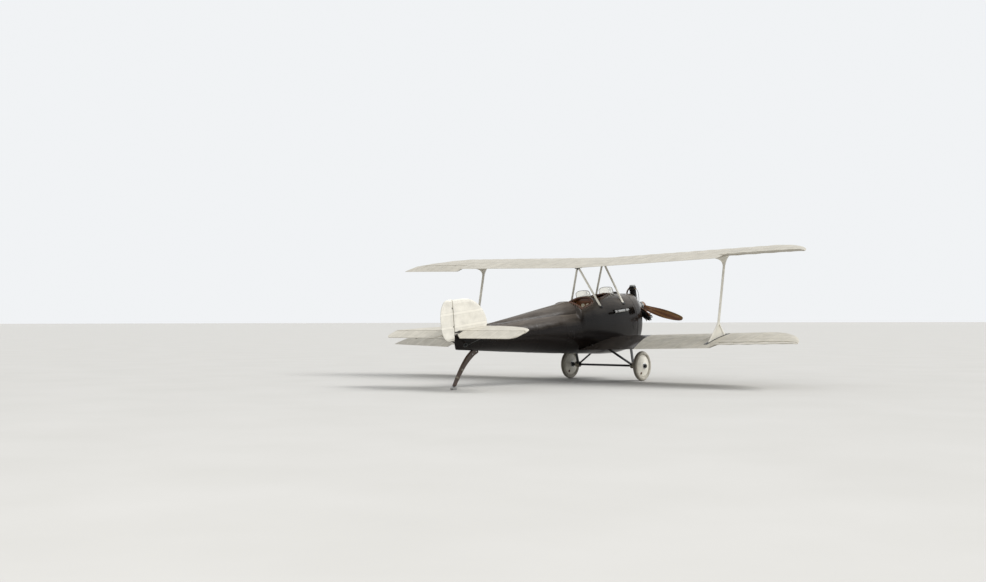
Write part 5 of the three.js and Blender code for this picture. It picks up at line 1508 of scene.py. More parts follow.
def make_wheel(name, centre):
    """Two shallow fabric cones laced over the spokes, drawn a little in between them, and the hub."""
    rim = TYRE_RADIUS - 2 * TYRE_SECTION
    spokes = SIZES.spoke_count
    around = round_spots(spokes * 6, 1)

    def circle(reach, across):
        return [centre + (across, reach * s, reach * c) for c, s in around]

    cover, hub, patch, eyelets = Parts(), Parts(), Parts(), Parts()
    cover_form = [(rim + 6, 17), (rim + 2, 21), (rim - 5, 23.5), (rim - 14, 25), (160, 30), (130, 36.5),
                  (100, 43), (75, 49), (60, 53.4), (55, 54)]
    hub_form = [(21, 34), (56, 34), (57, 54), (55, 56), (46, 57), (44, 60), (44, 61.6), (40, 62), (21, 62)]
    for face in (1, -1):
        rows = []
        for r, w in cover_form:
            depth = 0.9 * min(max((rim - 10 - r) / 40, 0), 1) * min((r - 50) / 30, 1)
            lifts = depth * np.cos(np.arange(len(around)) * np.pi / 3)
            rows.append([centre + (face * (w + lift), r * s, r * c) for lift, (c, s) in zip(lifts, around)])
        cover.loft(rows + [circle(50, face * 40)], caps=False)
        hub.lathe(hub_form, centre, (face, 0, 0), 48)
        for c, s in round_spots(6, 50):
            hub.lathe([(1, 0), (4.5, 0), (4.5, 3), (1, 4)], centre + (face * 56, s, c), (face, 0, 0), 6)
        c, s = math.cos(VALVE_ANGLE), math.sin(VALVE_ANGLE)
        patch.lathe([(0.1, -3), (23, -3), (23, 0.8), (21, 1.8), (0.1, 2.2)],
                    centre + (face * 33.6, 148 * s, 148 * c), (face, 0.18 * s, 0.18 * c), 32)
        for c, s in round_spots(2 * spokes, rim - 9, 0.5):
            eyelets.lathe([(0.1, -1), (3, -1), (3, 0.9), (1.8, 1.1), (0.1, 0.4)],
                          centre + (face * 24.6, s, c), (face, 0, 0), 8)
    cover.loft([circle(rim + 6, across) for across in (-17, 17)], caps=False)
    wheel = f"wheel_{name}"
    cover.piece(f"wheel_cover_{name}", "enamel", "pale_paint", [f"wheel_disc_{name}"], wheel, sharp=40)
    patch.piece(f"wheel_valve_patch_{name}", "leather", "seat_leather", body=wheel, sharp=40)
    eyelets.piece(f"wheel_eyelets_{name}", "brass", "bare_steel", body=wheel, sharp=30)
    hub.piece(f"wheel_hub_{name}", "spun", "bare_steel", body=wheel, sharp=30)


def faired_bar(parts, start, end, chord, thickness):
    """A streamlined bar with its chord fore and aft, blunt in front and fine behind."""
    start, end = np.asarray(start, float), np.asarray(end, float)
    axis = (end - start) / np.linalg.norm(end - start)
    aft = np.array([0, 1.0, 0]) - axis * axis[1]
    aft /= np.linalg.norm(aft)
    around = round_spots(28, 1)
    along, width = around[:, :1], around[:, 1:] * (1 - 0.32 * around[:, :1]) ** 0.9
    section = along * aft * chord / 2 + width * np.cross(axis, aft) * thickness / 2
    return parts.loft([start + section, end + section])


def make_gear():
    foot_plate = [(0.1, -8), (58, -8), (58, 1), (56, 4), (34, 7), (30, 24), (0.1, 25)]
    sleeve = [(19.4, -24), (36, -24), (40, -20), (40, 20), (36, 24), (19.4, 24), (19.4, -24)]
    for name, side in SIDES.items():
        legs, rubber = Parts(), Parts()
        apex = np.array([side * LEG_AXLE_X, 0, 0], float)
        out = np.array([side * 0.62, 0, -0.78])
        legs.lathe(sleeve, apex, (1, 0, 0), 40)
        for x, y in LEG_FEET:
            foot = np.array([side * x, y, skin_height(x, y, -1)])
            faired_bar(legs, apex, foot + (0, 0, 20), 58, 28)
            legs.lathe(foot_plate, foot, out, 32)
            bolt_ring(legs, foot + out * 5, out, 46, 6, 5, 6)
        legs.piece(f"gear_leg_tubes_{name}", "dark_steel", "dark_steel", [f"gear_legs_{name}"], sharp=40)
        for k in range(-4, 5):
            loop = [(apex[0] + k * 9.5 + 1.5 * s, 44 * s, 47 * c + 4) for c, s in round_spots(40, 1)]
            rubber.tube(loop, 5.2, 10, closed=True)
        rubber.piece(f"shock_cord_{name}", "cord", "tyre", sharp=60)


def strut_end(edge, reaches, lift):
    return [wing_point(edge, STRUT_X, ahead, lift) for ahead in reaches]


def strut_rings(low, high):
    """Rings of an interplane post, from its rear, middle and front feet, splayed at both ends."""
    table = smooth_table([
        # height share, spread, thickness
        (0, 1, 1), (0.06, 0.72, 1), (0.12, 0.42, 1.05), (0.18, 0.14, 1.15), (0.215, 0, 1.15), (0.3, 0, 1.08),
        (0.85, 0, 1), (0.885, 0.06, 1), (0.915, 0.17, 1), (0.945, 0.38, 1), (0.97, 0.7, 1), (1, 1, 1)], 6)
    around = round_spots(48, 1)
    rings = []
    for share, splay, thick in table:
        # the post reaches a little way into both wings
        at = -0.012 + share * 1.022
        rear, middle, front = low if at < 0.5 else high
        aft = (rear - front) / np.linalg.norm(rear - front)
        reach = [STRUT_CHORD / 2 + (np.linalg.norm(foot - middle) - STRUT_CHORD / 2) * splay
                 for foot in (rear, front)]
        along = np.where(around[:, 0] > 0, reach[0], reach[1]) * around[:, 0]
        across = around[:, 1] * STRUT_THICKNESS * thick / 2
        centre = low[1] + (high[1] - low[1]) * at
        rings.append(centre + along[:, None] * aft + across[:, None] * np.array([1.0, 0, 0]))
    return rings


def make_struts():
    low = strut_end(LOWER_EDGE, (262, 590, 940), 28)
    high = strut_end(UPPER_EDGE, (120, 600, 850), 8)
    crown = low[1] + (high[1] - low[1]) * 0.19
    # a shallow window on each face leaves the lower splay's rim proud
    window = round_corners([
        (low[0][1] - 92, low[0][2] + 18), (low[2][1] + 92, low[2][2] + 10), crown[1:]], 30)
    for name, side in SIDES.items():
        post = Parts().loft([on_side(ring, side) for ring in strut_rings(low, high)])
        post = post.solid(f"interplane_post_{name}", "enamel", sharp=35)
        tools = []
        for face in (1, -1):
            rows = [[(side * (STRUT_X + face * depth), y, z) for y, z in window] for depth in (4, 54)]
            tools.append(Parts().loft(rows).solid("window", "enamel"))
        fixed(shaped(post, *tools), [f"interplane_strut_{name}"])


def make_strut_plates():
    for name, side in SIDES.items():
        plates = Parts()
        for edge, face, low, high in ((LOWER_EDGE, 1, 200, 1000), (UPPER_EDGE, -1, 60, 910)):
            t = np.linspace(1 - high / CHORD, 1 - low / CHORD, 24)
            rows = [skin_point(edge, STRUT_X + x, t, face) + (0, 0, face * lift)
                    for x, lift in ((-34, -4), (-34, 1.4), (-31, 3), (31, 3), (34, 1.4), (34, -4))]
            plates.loft([on_side(ring, side) for ring in np.transpose(rows, (1, 0, 2))])
            for ahead in np.linspace(low + 25, high - 25, 7):
                for x in (-24, 24):
                    at = skin_point(edge, STRUT_X + x, 1 - ahead / CHORD, face) * (side, 1, 1)
                    bolt(plates, at + (0, 0, face * 3), (0, 0, face), 5, 5)
        plates.piece(f"interplane_plates_{name}", "dark_steel", "dark_steel", sharp=30)


def below_wing(x, y):
    """Point on the underside of the upper wing."""
    return skin_point(UPPER_EDGE, x, 1 - (UPPER_EDGE[0] - y) / CHORD, -1)


def make_cabane():
    for name, (apex_y, foot_x, foot_y) in CABANES.items():
        parts = Parts()
        top = below_wing(0.0, apex_y)[2] - 4
        for side in (1, -1):
            foot = (side * foot_x, foot_y, skin_height(foot_x, foot_y) - 12)
            faired_bar(parts, foot, (side * 16, apex_y, top), 52, 27)
        parts.piece(f"cabane_bars_{name}", "enamel", "pale_paint", [f"cabane_{name}"], sharp=40)


def make_cabane_fittings():
    fittings = Parts()
    foot_plate = [(0.1, -8), (52, -8), (52, 0.6), (50, 3), (30, 4.5), (0.1, 5)]
    wing_plate = round_corners([(-50, -64), (50, -64), (50, 34), (-50, 34)], 12, 4)
    for apex_y, foot_x, foot_y in CABANES.values():
        fittings.loft([[below_wing(x, apex_y + y) + (0, 0, rise) for x, y in wing_plate]
                       for rise in (0, -10)])
        fittings.block(below_wing(0.0, apex_y) + (0, -4, -20), (30, 44, 30), bevel=4)
        for x in (-39, 39):
            for y in (-52, 22):
                bolt(fittings, below_wing(x, apex_y + y) + (0, 0, -10), (0, 0, -1), 6, 7)
        for side in (1, -1):
            out = np.array([side * foot_x / 420, 0, 1.0])
            out /= np.linalg.norm(out)
            foot = np.array([side * foot_x, foot_y, skin_height(foot_x, foot_y)])
            fittings.lathe(foot_plate, foot, out, 32)
            bolt_ring(fittings, foot + out * 3.5, out, 42, 6, 4.5, 5)
    fittings.piece("cabane_fittings", "dark_steel", "dark_steel", sharp=30)


def ground_at(y):
    return (-TYRE_RADIUS + y * math.sin(NOSE_UP)) / math.cos(NOSE_UP)


def make_skid():
    spine = smooth_table([
        # y, z, half depth
        (3560, 745, 44), (3650, 722, 52), (3780, 650, 50), (3900, 556, 42), (4000, 455, 36), (4075, 370, 31),
        (4130, 302, 28), (4165, 257, 25)], 6)
    tangent = np.gradient(spine[:, :2], axis=0)
    tangent /= np.linalg.norm(tangent, axis=1)[:, None]
    c, s = round_spots(28, 1).T
    x = 26 * np.sign(c) * np.abs(c) ** 0.5
    depth = np.sign(s) * np.abs(s) ** 0.5
    rings = [np.stack([x, y + dz * half * depth, z - dy * half * depth], -1)
             for (y, z, half), (dy, dz) in zip(spine, tangent)]
    Parts().loft(rings).piece("skid_leg", "dark_ash", "varnished_wood", ["tail_skid"], sharp=40)
    shoe, straps = Parts(), Parts()
    sole = [(4124, 30), (4150, 7), (4180, 1), (4222, 1), (4226, 30), (4215, 46), (4190, 52), (4160, 60)]
    outline = round_corners([(y, ground_at(y) + up) for y, up in sole], 6, 4)
    shoe.loft([[(x, y, z) for y, z in outline] for x in (-30, 30)])
    for y, z in ((3610, 730), (3700, 700), (3960, 492)):
        for side in (1, -1):
            bolt(shoe, (side * 25, y, z), (side, 0, 0), 8, 8)
    shoe.piece("skid_shoe", "steel", "dark_steel", sharp=40)
    aft, down = 0.66, 0.75
    for y, z in ((3965, 488), (4068, 376)):
        for along in (0, 11, 22):
            loop = [(30 * s, y + along * aft + 36.9 * c * down, z - along * down + 36.9 * c * aft)
                    for c, s in round_spots(28, 1)]
            straps.tube(loop, 3.4, 8, closed=True)
    straps.piece("skid_cord_binding", "cord", "varnished_wood", sharp=60)


def make_tail_braces():
    for name, side in SIDES.items():
        brace = Parts()
        root = np.array([side * skin_width(3900, 872), 3900, 872])
        under = np.array([side * 640, 3840, TAILPLANE_Z - TAIL_THICKNESS / 2])
        faired_bar(brace, (side * 22, 3900, 846), under + (0, 0, 8), 30, 16)
        brace.block(under + (0, 0, -1), (60, 70, 6), bevel=2)
        brace.block(under + (-side * 8, 0, -12), (34, 10, 26), bevel=3)
        for x, y in ((-20, -24), (-20, 24), (20, -24), (20, 24)):
            bolt(brace, under + (x, y, -4), (0, 0, -1), 5, 5)
        skin_patch(brace, (3900, 868), side, 90, 70, 3, 24)
        for y in (-28, 28):
            bolt(brace, root + (side * 2, y, 0), (side, 0, -0.2), 5, 5)
        brace.piece(f"tail_brace_tube_{name}", "dark_steel", "dark_steel", [f"tail_brace_{name}"])


def make_exhausts():
    rows = smooth_table([
        # y, x, z
        (-330, 330, 985), (-240, 415, 992), (-120, 447, 998), (40, 452, 1002), (250, 452, 1006)], 8)
    clip = [(23, -4), (26.5, -4), (26.5, 4), (23, 4), (23, -4)]
    for name, side in SIDES.items():
        pipe = Parts().tube([(side * x, y, z) for y, x, z in rows], 24, 32, bore=21, depth=12)
        pipe.piece(f"exhaust_pipe_{name}", "steel", "bare_steel", [f"exhaust_{name}"], sharp=40)
        straps = Parts()
        for y in (-90, 170):
            x, z = (np.interp(y, rows[:, 0], rows[:, k]) for k in (1, 2))
            for along in (-9, 9):
                straps.lathe(clip, (side * x, y + along, z), (0, 1, 0), 32)
            wall = skin_width(y, z)
            straps.block((side * (wall + 3), y, z), (12, 26, 76), bevel=3)
            straps.block((side * (wall + 8), y, z + 28), (22, 18, 6), bevel=2)
            for up in (-31, 31):
                bolt(straps, (side * (skin_width(y, z + up) + 8), y, z + up), (side, 0, 0), 5, 5)
        straps.piece(f"exhaust_clamps_{name}", "dark_steel", "dark_steel", sharp=35)


# Cockpits

def inner_half_width(y, z):
    """Half width of the inside of the body at a station, less a millimetre of room."""
    _, bottom, top, half, power = body_row(y)
    half_height = (top - bottom) / 2 - WALL - 1
    away = np.clip(np.abs(z - (top + bottom) / 2) / half_height, 0, 1)
    return (half - WALL - 1) * (1 - away ** power) ** (1 / power)


def make_cockpits():
    make_frames()
    rows = []
    for y in np.linspace(-560, 1190, 60):
        x = inner_half_width(y, FLOOR_TOP - FLOOR_THICKNESS / 2)
        low = FLOOR_TOP - FLOOR_THICKNESS
        rows.append([(-x, y, FLOOR_TOP), (x, y, FLOOR_TOP), (x, y, low), (-x, y, low)])
    Parts().loft(rows).piece("cockpit_boards", "floor_wood", "varnished_wood", ["cockpit_floor"])
    for label, cockpit in COCKPITS.items():
        face = cockpit["front"] - 24
        z = np.linspace(935, min(body_row(face)[2] - WALL - 3, 1400), 40)
        x = inner_half_width(face - 6, z)
        outline = [*zip(x, z), *zip(-x[::-1], z[::-1])]
        board = Parts().loft([[(a, y, b) for a, b in outline] for y in (face - 12, face)])
        board.piece(f"{label}_dashboard", "wood", "varnished_wood", [f"{label}_instrument_panel"])
        make_dials(label, face)
        make_seat(label, cockpit["seat"])
        make_controls(label, cockpit["seat"])
        make_coaming(label, cockpit)
        make_windscreen(label, cockpit)


def stick(parts, label, foot):
    """A bent stick with a moulded grip, in a boot bolted to the floor."""
    bend = smooth_table([(0, 0), (150, 0), (330, 30), (470, 62), (590, 70)], 5)
    path = foot + np.array([(0, aft, up) for up, aft in bend])
    parts.tube(path, 14, 20)
    parts.lathe([(0.1, 0), (70, 0), (70, 5), (52, 8), (40, 24), (24, 40), (0.1, 42)], foot, (0, 0, 1), 32)
    bolt_ring(parts, foot + (0, 0, 6), (0, 0, 1), 61, 6, 5, 5, first=0)
    grip = [(0.1, -6), (17, -6), (20, 0), (17, 12), (19, 26), (17, 40), (19, 54), (17, 68), (19, 82),
            (21, 98), (16, 110), (0.1, 113)]
    handle = Parts().lathe(grip, path[-1] + (0, -4, -84), (0, 0.1, 1), 24)
    handle.piece(f"{label}_stick_grip", "rubber_black", "dark_steel", sharp=40)


def make_controls(label, seat):
    """Stick, rudder bar, throttle quadrant and belts of one cockpit."""
    metal, wood, belts = Parts(), Parts(), Parts()
    stick(metal, label, np.array([0, seat - 330, FLOOR_TOP]))
    bar = np.array([0, seat - 560, FLOOR_TOP + 70])
    wood.block(bar, (430, 46, 30), bevel=9)
    wood.block(bar + (0, 0, -40), (60, 60, 60), bevel=8)
    for side in (1, -1):
        stirrup = [bar + (side * x, y, z) for x, y, z in (
            (128, 22, -6), (132, -52, 34), (196, -52, 34), (200, 22, -6))]
        metal.tube(round_open(stirrup, 20), 6, 12)
        bolt(metal, bar + (side * 165, 0, 15), (0, 0, 1), 9, 6)
    quadrant = seat - 150
    wall = skin_width(quadrant, 880) - WALL - 2
    metal.block((wall - 12, quadrant, 880), (20, 150, 90), bevel=6)
    for k, along in enumerate((-34, 0, 30)):
        knob = np.array([wall - 26 - k, quadrant + along - 22, 962 - 8 * k])
        metal.tube([(wall - 22, quadrant + along, 880), knob], 4, 10)
        wood.lathe([(0.1, -14), (9, -12), (14, 0), (9, 12), (0.1, 14)], knob, (1, 0, 0), 20)
    lift = np.array([0, 0, 1.6])
    for side in (1, -1):
        over = round_open([(side * x, seat + y, FLOOR_TOP + z) for x, y, z in (
            (196, 118, 250), (150, 60, 262), (60, -40, 262), (12, -92, 256))], 60, 8)
        run = np.gradient(over, axis=0)
        across = np.stack([-run[:, 1], run[:, 0], 0 * run[:, 0]], -1)
        across = across / np.linalg.norm(across, axis=1)[:, None] * 23
        belts.loft(np.stack([over + sign * across + up for sign, up in (
            (-1, -lift), (1, -lift), (1, lift), (-1, lift))], 1))
    metal.block((0, seat - 96, FLOOR_TOP + 262), (64, 46, 7), bevel=3)
    metal.piece(f"{label}_cockpit_levers", "painted", "dark_steel", sharp=35)
    wood.piece(f"{label}_rudder_bar", "ash", "varnished_wood", sharp=35)
    belts.piece(f"{label}_lap_belt", "webbing", "seat_leather", sharp=50)


def make_frames():
    """Ash hoops glued inside the shell, open where they pass a cockpit's opening."""
    hoops = Parts()
    for y in (-420, -60, 200, 640, 900):
        cockpit = COCKPITS["front" if y < 470 else "rear"]
        gap = float(opening_half_width(cockpit, y)) + 26
        rings = []
        for at, grow in ((y - 9, 3), (y - 9, -15), (y + 9, -15), (y + 9, 3)):
            ring = oval(body_row(at), grow - WALL)
            opened = (np.abs(ring[:, 0]) < gap) & (ring[:, 2] > 1000)
            start = int(np.argmax(opened))
            rings.append(np.roll(ring, -start, 0)[~np.roll(opened, -start)])
        count = min(len(ring) for ring in rings)
        rings = [[ring[round(i)] for i in np.linspace(0, len(ring) - 1, count)] for ring in rings]
        hoops.loft(np.transpose(rings, (1, 0, 2)))
    hoops.piece("body_hoops", "ash", "varnished_wood", sharp=40)


def make_dials(label, face):
    rims, cards, needles = Parts(), Parts(), Parts()
    layout = [(-150, 1130, 40), (-52, 1150, 46), (52, 1150, 46), (150, 1130, 40), (-100, 1055, 32),
              (0, 1045, 34), (100, 1055, 32)]
    for k, (x, z, r) in enumerate(layout):
        at, aft = (x, face, z), (0, 1, 0)
        rims.lathe([(r - 5, 0), (r, 0), (r, 7), (r - 2, 9), (r - 5, 8), (r - 6, 4), (r - 5, 0)], at, aft, 40)
        cards.lathe([(1, 0), (r - 5, 0), (r - 5, 3), (1, 3)], at, aft, 40)
        reading = 0.7 + 1.9 * k
        tip = (x + 0.72 * r * math.sin(reading), face + 4, z + 0.72 * r * math.cos(reading))
        needles.tube([(x, face + 4, z), tip], [2.4, 0.8], 8)
        needles.lathe([(1, 3), (4, 3), (4, 5.6), (1, 6)], at, aft, 16)
    rims.piece(f"{label}_dial_rims", "brass", "bare_steel", sharp=30)
    cards.piece(f"{label}_dial_cards", "dial", "bare_steel", sharp=30)
    needles.piece(f"{label}_dial_needles", "iron", "dark_steel", sharp=30)


def make_seat(label, y):
    profile = round_corners([(y + aft, FLOOR_TOP + up) for aft, up in (
        (-190, 150), (-186, 236), (-168, 236), (-150, 182), (150, 166), (178, 215), (222, 560), (240, 560),
        (222, 180), (180, 132), (-150, 150))], 12, 4)
    shell = Parts().loft([[(x, a, b) for a, b in profile] for x in (-203, 203)])
    for side in (-1, 1):
        shell.block((side * 150, y + 10, FLOOR_TOP + 78), (26, 250, 156), bevel=4)
    shell.piece(f"{label}_seat_shell", "pressed", "seat_leather", [f"{label}_seat"], sharp=40)
    for kind, tilt, size, centre in (
            ("cushion", -0.05, (366, 300, 70), (0, y - 6, FLOOR_TOP + 206)),
            ("back_pad", 1.39, (360, 316, 58), (0, y + 184, FLOOR_TOP + 392))):
        piece = pad_form(size, centre, tilt).solid(f"{label}_seat_{kind}", "leather", sharp=180)
        stuffed(piece, size[0] * MM, 0.012)
        fixed(piece)


def pad_form(size, centre, tilt):
    """An unstuffed pad: a flat cover with rounded corners, drawn in towards its top and bottom."""
    width, length, depth = size
    angle = np.linspace(0, 2 * np.pi, 96, endpoint=False)
    c, s = np.cos(angle), np.sin(angle)
    rows = []
    for level in np.linspace(-1, 1, 15):
        squeeze = math.sqrt(max(1 - level ** 4, 0.003))
        reach = 1.0 if abs(level) < 1 else 0.9
        x = width / 2 * np.sign(c) * np.abs(c) ** 0.35 * (0.9 + 0.1 * squeeze) * reach
        y = length / 2 * np.sign(s) * np.abs(s) ** 0.35 * (0.9 + 0.1 * squeeze) * reach
        rows.append(np.stack([x, y, np.full(96, depth / 2 * level * 0.86)], -1))
    points = spread(rows) @ np.array(Matrix.Rotation(tilt, 3, "X")).T + np.asarray(centre, float)
    return Parts().loft(points.reshape(len(rows), 96, 3))


def stuffed(piece, width, cap):
    """Stuffs a pad: an even mesh blown up by cloth, held at its sewn channels, then smoothed once."""
    scene = bpy.context.scene
    grid = piece.modifiers.new("even_mesh", "REMESH")
    grid.mode = "VOXEL"
    grid.voxel_size = 0.009
    settle(piece)
    start = np.array([v.co[:] for v in piece.data.vertices])
    share = start[:, 0] / width * CHANNELS
    from_seam = np.abs(share - np.round(share - 0.5) - 0.5) * width / CHANNELS
    seams = piece.vertex_groups.new(name="seams")
    seams.add([int(i) for i in np.flatnonzero(from_seam < 0.005)], 1.0, "ADD")
    cloth = piece.modifiers.new("stuffing", "CLOTH").settings
    cloth.use_pressure = True
    cloth.uniform_pressure_force = 4
    cloth.effector_weights.gravity = 0
    cloth.vertex_group_mass = "seams"
    for step in range(1, 21):
        scene.frame_set(step)
    graph = bpy.context.evaluated_depsgraph_get()
    blown = np.array([v.co[:] for v in piece.evaluated_get(graph).data.vertices])
    piece.modifiers.clear()
    scene.frame_set(1)
    move = blown - start
    far = np.linalg.norm(move, axis=1)[:, None]
    start = start + move * np.minimum(cap / np.maximum(far, 1e-9), 1)
    piece.data.vertices.foreach_set("co", start.ravel())
    smooth = piece.modifiers.new("smooth", "SUBSURF")
    smooth.levels = smooth.render_levels = 1
    settle(piece)
    piece.data.shade_smooth()


def make_coaming(label, cockpit):
    radius = SIZES.coaming_radius / MM
    path = np.array([(a, b, skin_height(a, b) - 1) for a, b in zip(*opening_outline(cockpit, 110))])
    # a hand-sewn roll swells and thins a little
    wobble = [radius * (1 + 0.035 * noise.noise(Vector(p) / 45)) for p in path]
    roll = Parts().tube(path, wobble, 20, closed=True)
    roll.piece(f"{label}_coaming", "leather", "seat_leather", sharp=80)
    run = np.roll(path, -1, 0) - np.roll(path, 1, 0)
    out = np.stack([run[:, 1], -run[:, 0]], -1) / np.hypot(run[:, 0], run[:, 1])[:, None]
    out *= np.sign((out * (path[:, :2] - path[:, :2].mean(0))).sum(1))[:, None]
    lacing = Parts()
    for at, (x, y) in zip(path[::4], out[::4]):
        away = np.array([x, y, 0])
        foot = at + away * (radius + 9)
        foot[2] = skin_height(foot[0], foot[1]) + 0.6
        if abs(foot[0]) < body_row(foot[1])[3] - 4:
            arc = [at + away * 9 + (0, 0, radius * 0.93), at + away * radius * 0.93 + (0, 0, 9),
                   at + away * (radius + 2) + (0, 0, foot[2] - at[2] + 4), foot + (0, 0, 0.8),
                   foot + away * 3 - (0, 0, 2)]
            lacing.tube(arc, 1.7, 6)
    lacing.piece(f"{label}_coaming_lacing", "cord", "seat_leather", sharp=60)


def screen_point(cockpit, share, z):
    """Point on a windscreen, bent round the cockpit's front: share is -1 at one side and 1 at the other."""
    angle = math.pi / 2.6 * share
    x = math.sin(angle) * 180 * (1 - (z - 1150) * 0.0004)
    return np.array([x, cockpit["screen"] + 105 - math.cos(angle) * 110 + (z - 1290) * 0.32, z])


def make_windscreen(label, cockpit):
    shares = np.linspace(-1, 1, 33)
    top = [1420 - 50 * abs(s) ** 3.2 for s in shares]
    low = []
    for s in shares:
        # the foot settles on the deck below it in a few steps
        z = 1200.0
        for _ in range(12):
            x, y, _ = screen_point(cockpit, s, z)
            z = skin_height(x, y) - 2
        low.append(z)
    outer = np.array([[screen_point(cockpit, s, a + (b - a) * f) for s, a, b in zip(shares, low, top)]
                      for f in np.linspace(0, 1, 12)])
    inward = outer.mean((0, 1)) + (0, 120, 0) - outer
    inward[:, :, 2] = 0
    inward /= np.linalg.norm(inward, axis=2)[:, :, None]
    sheet = Parts().loft(np.concatenate([outer, (outer + inward * 3.0)[:, ::-1]], 1))
    sheet.piece(f"{label}_windscreen_sheet", "celluloid", "screen", [f"{label}_windscreen"], sharp=50)
    rim = [screen_point(cockpit, s, b) + (0, 1.5, 0) for s, b in zip(shares, top)]
    foot = [screen_point(cockpit, s, a + 5) + (0, 1.5, 0) for s, a in zip(shares, low)]
    edging = Parts().tube(rim, 4.5, 12).tube(foot, 6, 12)
    for k in (0, -1):
        edging.tube([foot[k], rim[k]], 4.5, 12)
    edging.piece(f"{label}_windscreen_frame", "steel", "dark_steel", sharp=40)


# Stage

CAMERA_FROM_AXLE = Vector((-11.98, 17.56, 0.899))
VIEW = Vector((0.6414, -0.7672, 0)).normalized()
PHOTO_WIDTH = 986
FOCAL_PIXELS = 1148.75
HORIZON_BELOW_CENTRE = 24.5
HORIZON_TILT = 0.0051
STANDING_ROLL = math.radians(-0.515)


def studio_camera():
    """A camera where the photograph was taken from, with its lens and its slightly tilted horizon."""
    pitch = math.atan(HORIZON_BELOW_CENTRE / FOCAL_PIXELS)
    forward = VIEW * math.cos(pitch) + Vector((0, 0, 1)) * math.sin(pitch)
    right = forward.cross(Vector((0, 0, 1))).normalized()
    basis = Matrix((right, right.cross(forward), -forward)).transposed().to_4x4()
    basis = basis @ Matrix.Rotation(HORIZON_TILT, 4, "Z")
    data = bpy.data.cameras.new("camera")
    data.sensor_width = 36
    data.lens = 36 * FOCAL_PIXELS / PHOTO_WIDTH
    data.clip_end = 4000
    camera = bpy.data.objects.new("camera", data)
    about = Matrix.Translation(axle_centre()) @ Matrix.Rotation(STANDING_ROLL, 4, "Y")
    camera.matrix_world = about @ Matrix.Translation(CAMERA_FROM_AXLE) @ basis
    return camera


def studio_floor():
    """Pale painted concrete: matt, and faintly clouded over more than a metre."""
    mesh = bpy.data.meshes.new("studio_floor")
    reach = 1500
    mesh.from_pydata([(-reach, -reach, 0), (reach, -reach, 0), (reach, reach, 0), (-reach, reach, 0)], [],
                     [(0, 1, 2, 3)])
    material, tree, shader, place = new_material("pale_floor")
    tone = add_node(tree, "ShaderNodeTexNoise", {"Vector": place, "Scale": 0.7, "Detail": 4})
    mix = add_node(tree, "ShaderNodeMix", {
        0: tone.outputs["Fac"], 6: linear("#b3b1ac"), 7: linear("#bdbbb7")}, data_type="RGBA")
    set_inputs(shader, {"Base Color": mix.outputs[2], "Roughness": 0.85})
    mesh.materials.append(material)
    return bpy.data.objects.new("studio_floor", mesh)


def studio_lamp(name, kind, spot, size, power):
    data = bpy.data.lights.new(name, kind)
    if kind == "SUN":
        data.angle = size
    else:
        data.shape, data.size = "DISK", size
    data.energy = power
    lamp = bpy.data.objects.new(name, data)
    lamp.location = spot
    # both lamps face a point a metre over the middle of the floor
    lamp.rotation_euler = (Vector((0, 0, 1)) - Vector(spot)).to_track_quat("-Z", "Y").to_euler()
    return lamp


def make_stage():
    scene = bpy.context.scene
    # a broad high key from ahead to starboard, and a wide soft fill from behind
    camera, floor = studio_camera(), studio_floor()
    key = studio_lamp("key", "SUN", (-11, -7, 14), math.radians(28), 2.6)
    fill = studio_lamp("fill", "AREA", (-9, 15, 8), 14, 260)
    for thing in (camera, floor, key, fill):
        scene.collection.objects.link(thing)
    scene.camera = camera
    scene.world = bpy.data.worlds.new("pale_studio")
    scene.world.use_nodes = True
    set_inputs(scene.world.node_tree.nodes["Background"], {"Color": linear("#f3f5f7"), "Strength": 0.98})
    scene.view_settings.view_transform = "Standard"


# Operators and panel

def operator(key, label, description, build):
    """An operator class that builds one group of pieces."""
    def execute(self, context):
        before = len(bpy.data.objects)
        build()
        if len(bpy.data.objects) <= before:
            raise RuntimeError(f"{label} made nothing")
        return {"FINISHED"}

    return type(f"BIPLANE_OT_{key}", (bpy.types.Operator,), {
        "bl_idname": f"biplane.{key}", "bl_label": label, "__doc__": description, "execute": execute})


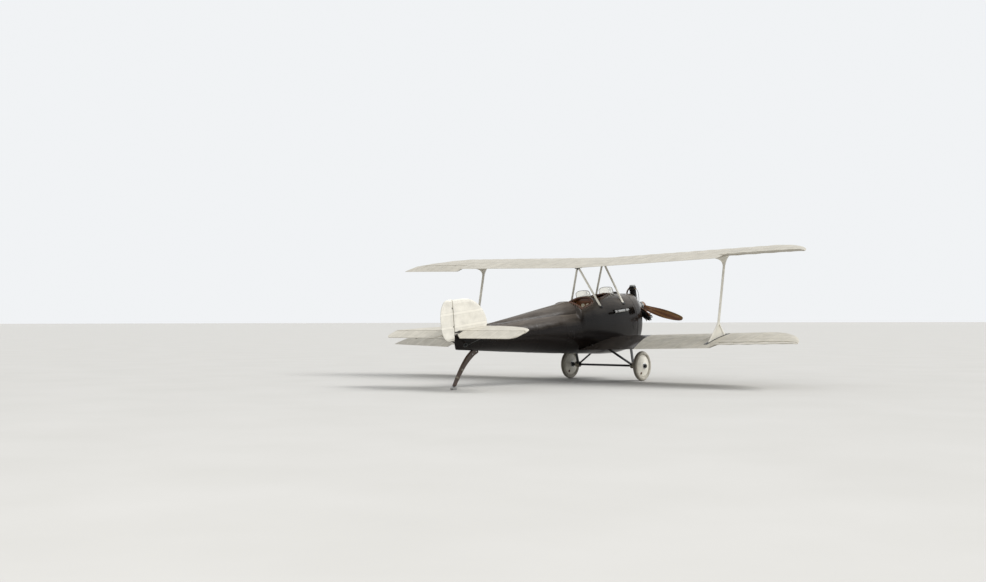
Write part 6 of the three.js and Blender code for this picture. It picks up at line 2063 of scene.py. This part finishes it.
OPERATORS = [
    operator("wings", "Wings", "Fabric wing panels and the dark lower roots", make_wings),
    operator("wing_fittings", "Wing fittings", "Inspection rings and drain eyelets", make_wing_fittings),
    operator("ailerons", "Ailerons", "Four ailerons and their hinges", make_ailerons),
    operator("tailplane", "Tailplane", "The fixed tail surface", make_tailplane),
    operator("elevators", "Elevators", "Two elevator halves, hinges and joining tube", make_elevators),
    operator("fin", "Fin", "The fixed fin", make_fin),
    operator("rudder", "Rudder", "Rudder and its hinges", make_rudder),
    operator("body", "Body", "Plywood body and headrest fairing", make_body),
    operator("trim", "Body trim", "Bands, louvres, covers, steps and filler cap", make_body_trim),
    operator("cowl", "Cowl", "Nose cowl", make_cowl),
    operator("engine", "Engine", "Crankcase, cylinders and hub", make_engine),
    operator("propeller", "Propeller", "Laminated two-blade propeller", make_propeller),
    operator("wheels", "Wheels", "Tyres, covered wheels and axle", make_wheels),
    operator("gear", "Undercarriage", "Legs and shock cords", make_gear),
    operator("struts", "Struts", "Interplane posts", make_struts),
    operator("plates", "Strut plates", "Plates that bolt the posts to the wings", make_strut_plates),
    operator("cabane_feet", "Cabane fittings", "Feet and wing fittings of the cabane", make_cabane_fittings),
    operator("cabane", "Cabane", "Struts between body and upper wing", make_cabane),
    operator("skid", "Skid", "Tail skid, its shoe and its cord binding", make_skid),
    operator("braces", "Tail braces", "Bars under the tailplane", make_tail_braces),
    operator("exhausts", "Exhausts", "Exhaust pipes", make_exhausts),
    operator("cockpits", "Cockpits", "Seats, boards, screens and coamings", make_cockpits),
    operator("stage", "Stage", "Floor, light and camera", make_stage),
]


class BIPLANE_PT_panel(bpy.types.Panel):
    bl_idname = "BIPLANE_PT_panel"
    bl_label = "Light biplane"
    bl_space_type = "VIEW_3D"
    bl_region_type = "UI"
    bl_category = "Biplane"

    def draw(self, context):
        for kind in OPERATORS:
            self.layout.operator(kind.bl_idname)


CLASSES = [BiplaneSizes, BiplaneColours, *OPERATORS, BIPLANE_PT_panel]


def register():
    for kind in CLASSES:
        bpy.utils.register_class(kind)
    bpy.types.Scene.biplane_sizes = PointerProperty(type=BiplaneSizes)
    bpy.types.Scene.biplane_colours = PointerProperty(type=BiplaneColours)


def unregister():
    del bpy.types.Scene.biplane_colours
    del bpy.types.Scene.biplane_sizes
    for kind in reversed(CLASSES):
        bpy.utils.unregister_class(kind)


def main():
    global SIZES, COLOURS
    register()
    SIZES = bpy.context.scene.biplane_sizes
    COLOURS = bpy.context.scene.biplane_colours
    make_materials()
    for kind in OPERATORS:
        getattr(bpy.ops.biplane, kind.bl_idname.split(".")[1])()


if __name__ == "__main__":
    main()
